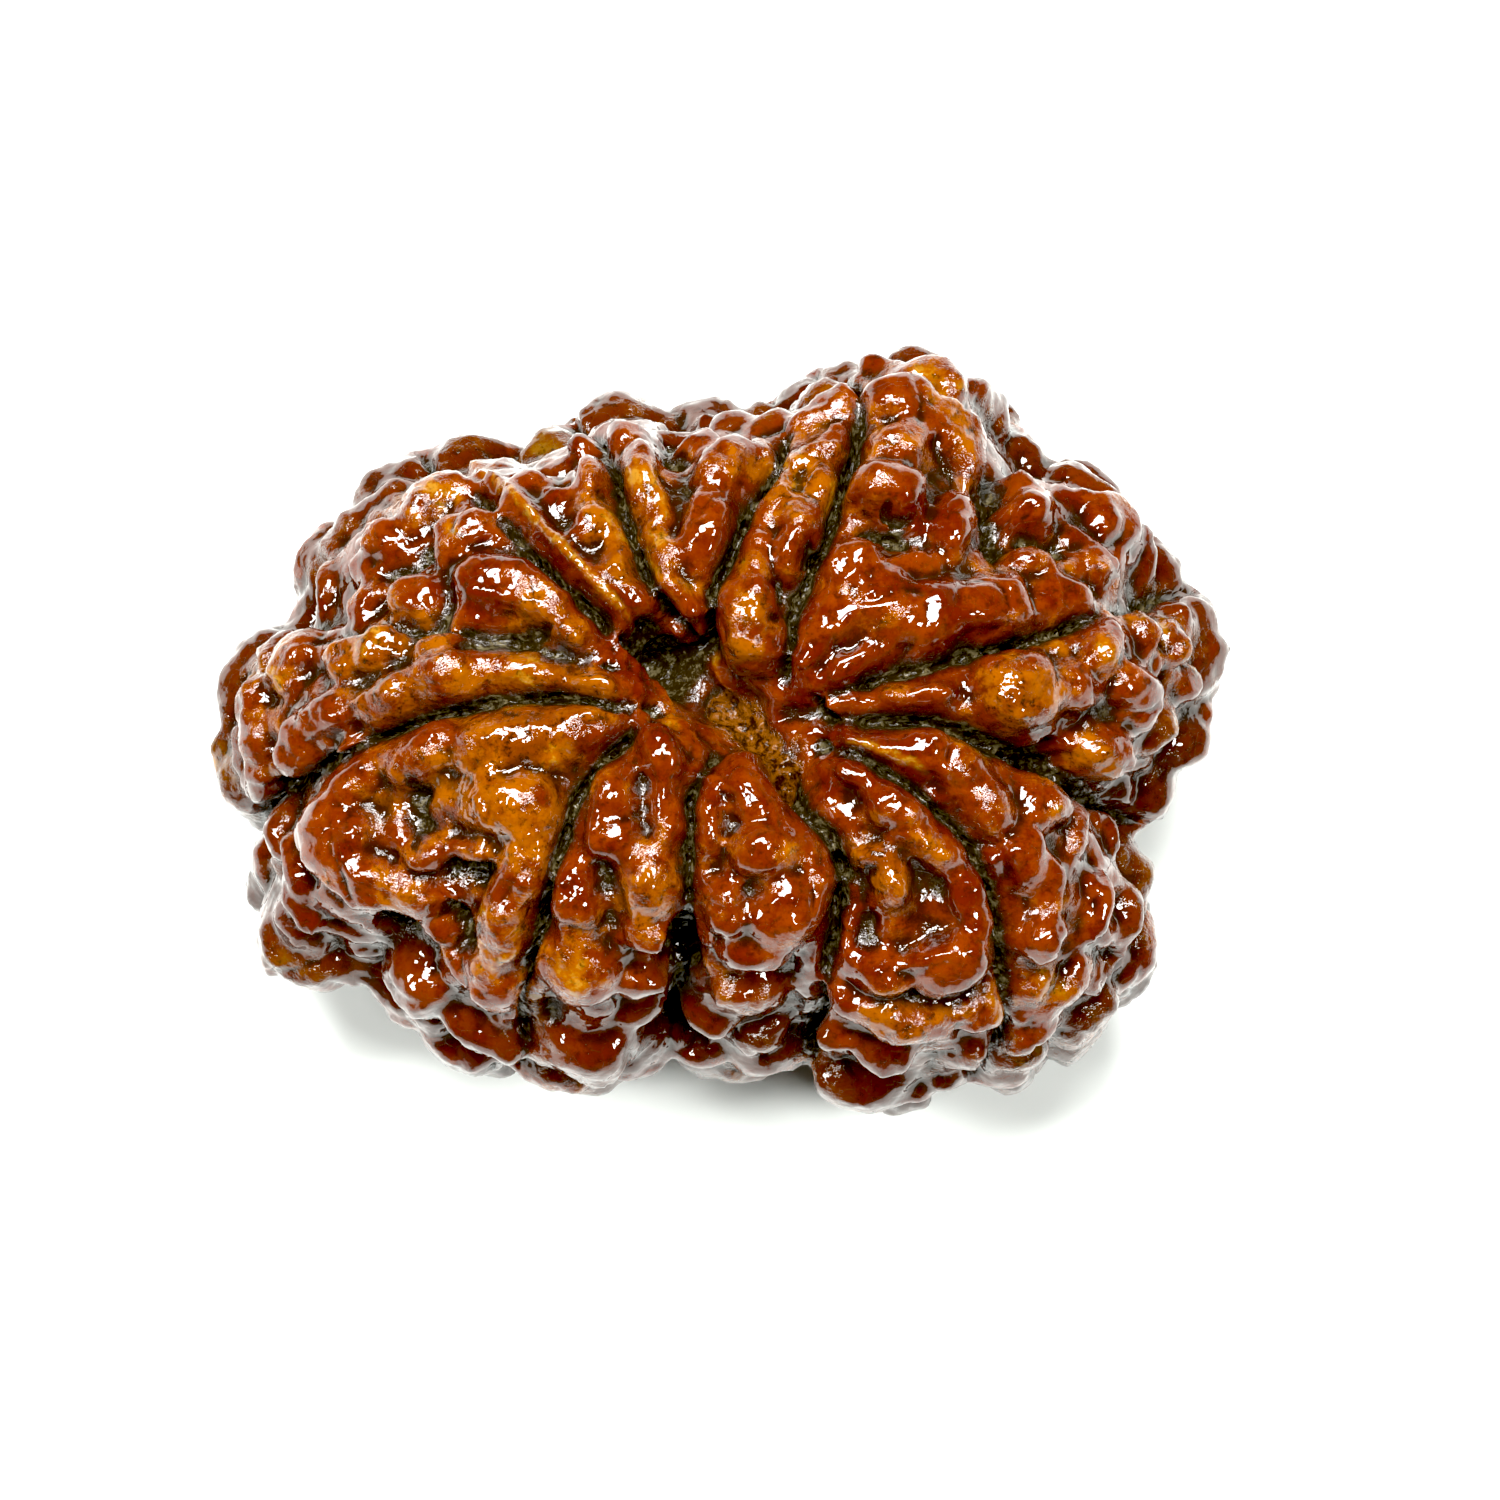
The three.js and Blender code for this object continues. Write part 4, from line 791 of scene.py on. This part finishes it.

# dirt and painted shade in the crevices and sutures: near-black where deep or along a suture, flecked with
# olive dust, more of it where deep
sutureDirtAndShade = remap(sum2(suture, sum2(patchy, 0.25, "MULTIPLY")), 0.2, 0.34, 1, 0)
deepDirtAndShade = remap(sum2(wide, sum2(sum2(patchy, -0.5), 0.6, "MULTIPLY")), -0.5, -0.18, 1, 0)
dirtAndShade = sum2(sutureDirtAndShade, deepDirtAndShade, "MAXIMUM")
dusty = sum2(remap(fine, 0.5, 0.62), sum2(sum2(deepDirtAndShade, 0.75, "MULTIPLY"), 0.25), "MULTIPLY")
dirtAndShadeColour = blend(dusty, finish["crevice"], finish["dust"])
colour = blend(dirtAndShade, skinColour, dirtAndShadeColour)

# the plug is dull and fibrous
plugFace = remap(sum2(inPlug, sum2(sum2(patchy, -0.5), 1.6, "MULTIPLY")), 0.3, 0.62)
colour = blend(plugFace, colour, blend(remap(fine, 0.42, 0.6), finish["fibre"], finish["umberAndShade"]))
matt = sum2(dirtAndShade, plugFace, "MAXIMUM")
links.new(colour, shader.inputs["Base Color"])
links.new(remap(matt, 0, 1, 0.4, 0.8), shader.inputs["Roughness"])
shader.inputs["Specular IOR Level"].default_value = 0.0
shader.inputs["Coat Roughness"].default_value = finish["coatRoughness"]
links.new(remap(matt, 0.3, 1, 1, 0.3), shader.inputs["Coat Weight"])

bump = nodes.new("ShaderNodeBump")
bump.inputs["Strength"].default_value = 1.0
bump.inputs["Distance"].default_value = finish["bumpDistance"]
ridges = noiseValue(finish["ridgeScale"], 1, 0.5, 0.6)
pebbles = noiseValue(finish["pebbleScale"], 1, 0.5)
rough = sum2(sum2(matt, 1.5, "MULTIPLY"), sum2(sum2(isAmber, 0.5, "MULTIPLY"), 0.3))
grain = sum2(sum2(ridges, 0.9, "MULTIPLY"), sum2(pebbles, rough, "MULTIPLY"))
facets = sum2(sum2(facetHeight(finish["facetScale"]), 1.2, "MULTIPLY"),
              sum2(facetHeight(finish["smallFacetScale"]), 0.5, "MULTIPLY"))
feed(sum2(grain, facets), bump.inputs["Height"])
links.new(bump.outputs["Normal"], shader.inputs["Normal"])
links.new(bump.outputs["Normal"], shader.inputs["Coat Normal"])

bead.data.materials.clear()
bead.data.materials.append(material)
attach(bead, "root")
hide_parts("rudraksha_bead")

paper = {"size": 3, "colour": (0.84, 0.88, 0.84, 1), "roughness": 0.8}
deselectAll()
bpy.ops.mesh.primitive_plane_add(size=paper["size"], location=(0, 0, 0))
floor = bpy.context.object
floor.name = "paleFloor"
floorPaint = bpy.data.materials.new("palePaper")
floorPaint.use_nodes = True
floorShader = floorPaint.node_tree.nodes["Principled BSDF"]
floorShader.inputs["Base Color"].default_value = paper["colour"]
floorShader.inputs["Roughness"].default_value = paper["roughness"]
floor.data.materials.append(floorPaint)

# Soft tent: bright low down, dimmer overhead where the camera is
tent = {
    "low": 0.47, "high": 0.01, "fadeFrom": 0.05, "fadeTo": 0.5,
    "strength": 0.7, "tint": (0.95, 1.0, 0.84),
}
world = bpy.data.worlds.new("tent")
bpy.context.scene.world = world
world.use_nodes = True
worldNodes = world.node_tree.nodes
worldLinks = world.node_tree.links
direction = worldNodes.new("ShaderNodeTexCoord")
split = worldNodes.new("ShaderNodeSeparateXYZ")
fade = worldNodes.new("ShaderNodeMapRange")
fade.interpolation_type = "SMOOTHSTEP"
fade.inputs["From Min"].default_value = tent["fadeFrom"]
fade.inputs["From Max"].default_value = tent["fadeTo"]
fade.inputs["To Min"].default_value = tent["low"]
fade.inputs["To Max"].default_value = tent["high"]
worldLinks.new(direction.outputs["Generated"], split.inputs["Vector"])
worldLinks.new(split.outputs["Z"], fade.inputs["Value"])
tinted = worldNodes.new("ShaderNodeVectorMath")
tinted.operation = "SCALE"
tinted.inputs[0].default_value = tent["tint"]
worldLinks.new(fade.outputs["Result"], tinted.inputs["Scale"])
worldLinks.new(tinted.outputs["Vector"], worldNodes["Background"].inputs["Color"])
worldNodes["Background"].inputs["Strength"].default_value = tent["strength"]

lamps = [
    {"name": "overheadLamp", "place": (-0.02, 0.11, 0.38), "width": 0.24, "depth": 0.14, "watts": 4.6},
    {"name": "sideLamp", "place": (0.15, -0.08, 0.34), "width": 0.08, "depth": 0.08, "watts": 1.1},
    {"name": "leftLamp", "place": (-0.2, -0.02, 0.32), "width": 0.06, "depth": 0.12, "watts": 1.0},
]


def addLamp(name, place, width, depth, watts):
    data = bpy.data.lights.new(name, "AREA")
    data.energy = watts
    data.shape = "RECTANGLE"
    data.size = width
    data.size_y = depth
    lamp = bpy.data.objects.new(name, data)
    bpy.context.collection.objects.link(lamp)
    lamp.location = place
    lamp.rotation_euler = (Vector((0, 0, 0.008)) - Vector(place)).to_track_quat("-Z", "Y").to_euler()


for lamp in lamps:
    addLamp(**lamp)

cameraData = bpy.data.cameras.new("camera")
cameraData.lens = 250  # in mm, on a sensor of 36 mm
cameraData.sensor_width = 36
cameraData.clip_start = 0.01
camera = bpy.data.objects.new("camera", cameraData)
bpy.context.collection.objects.link(camera)
photoPixel = 3e-5  # metres across the bead
aim = {"across": 32 * photoPixel, "down": 20 * photoPixel}  # the photo's middle, from the bead's
viewWidth = 1500 * photoPixel
distance = viewWidth / cameraData.sensor_width * cameraData.lens
towards = Vector((0, -math.cos(seenFrom), math.sin(seenFrom)))
upward = Vector((0, math.sin(seenFrom), math.cos(seenFrom)))
target = Vector((aim["across"], 0, widestLevel * metresPerUnit)) - upward * aim["down"]
camera.location = target + towards * distance
camera.rotation_euler = (-towards).to_track_quat("-Z", "Y").to_euler()
bpy.context.scene.camera = camera

# The photo's blacks and whites are clipped a little
viewing = bpy.context.scene.view_settings
viewing.view_transform = "Standard"
viewing.use_curve_mapping = True
viewing.curve_mapping.black_level = (0.01, 0.01, 0.013)
viewing.curve_mapping.white_level = (0.95, 0.95, 0.95)
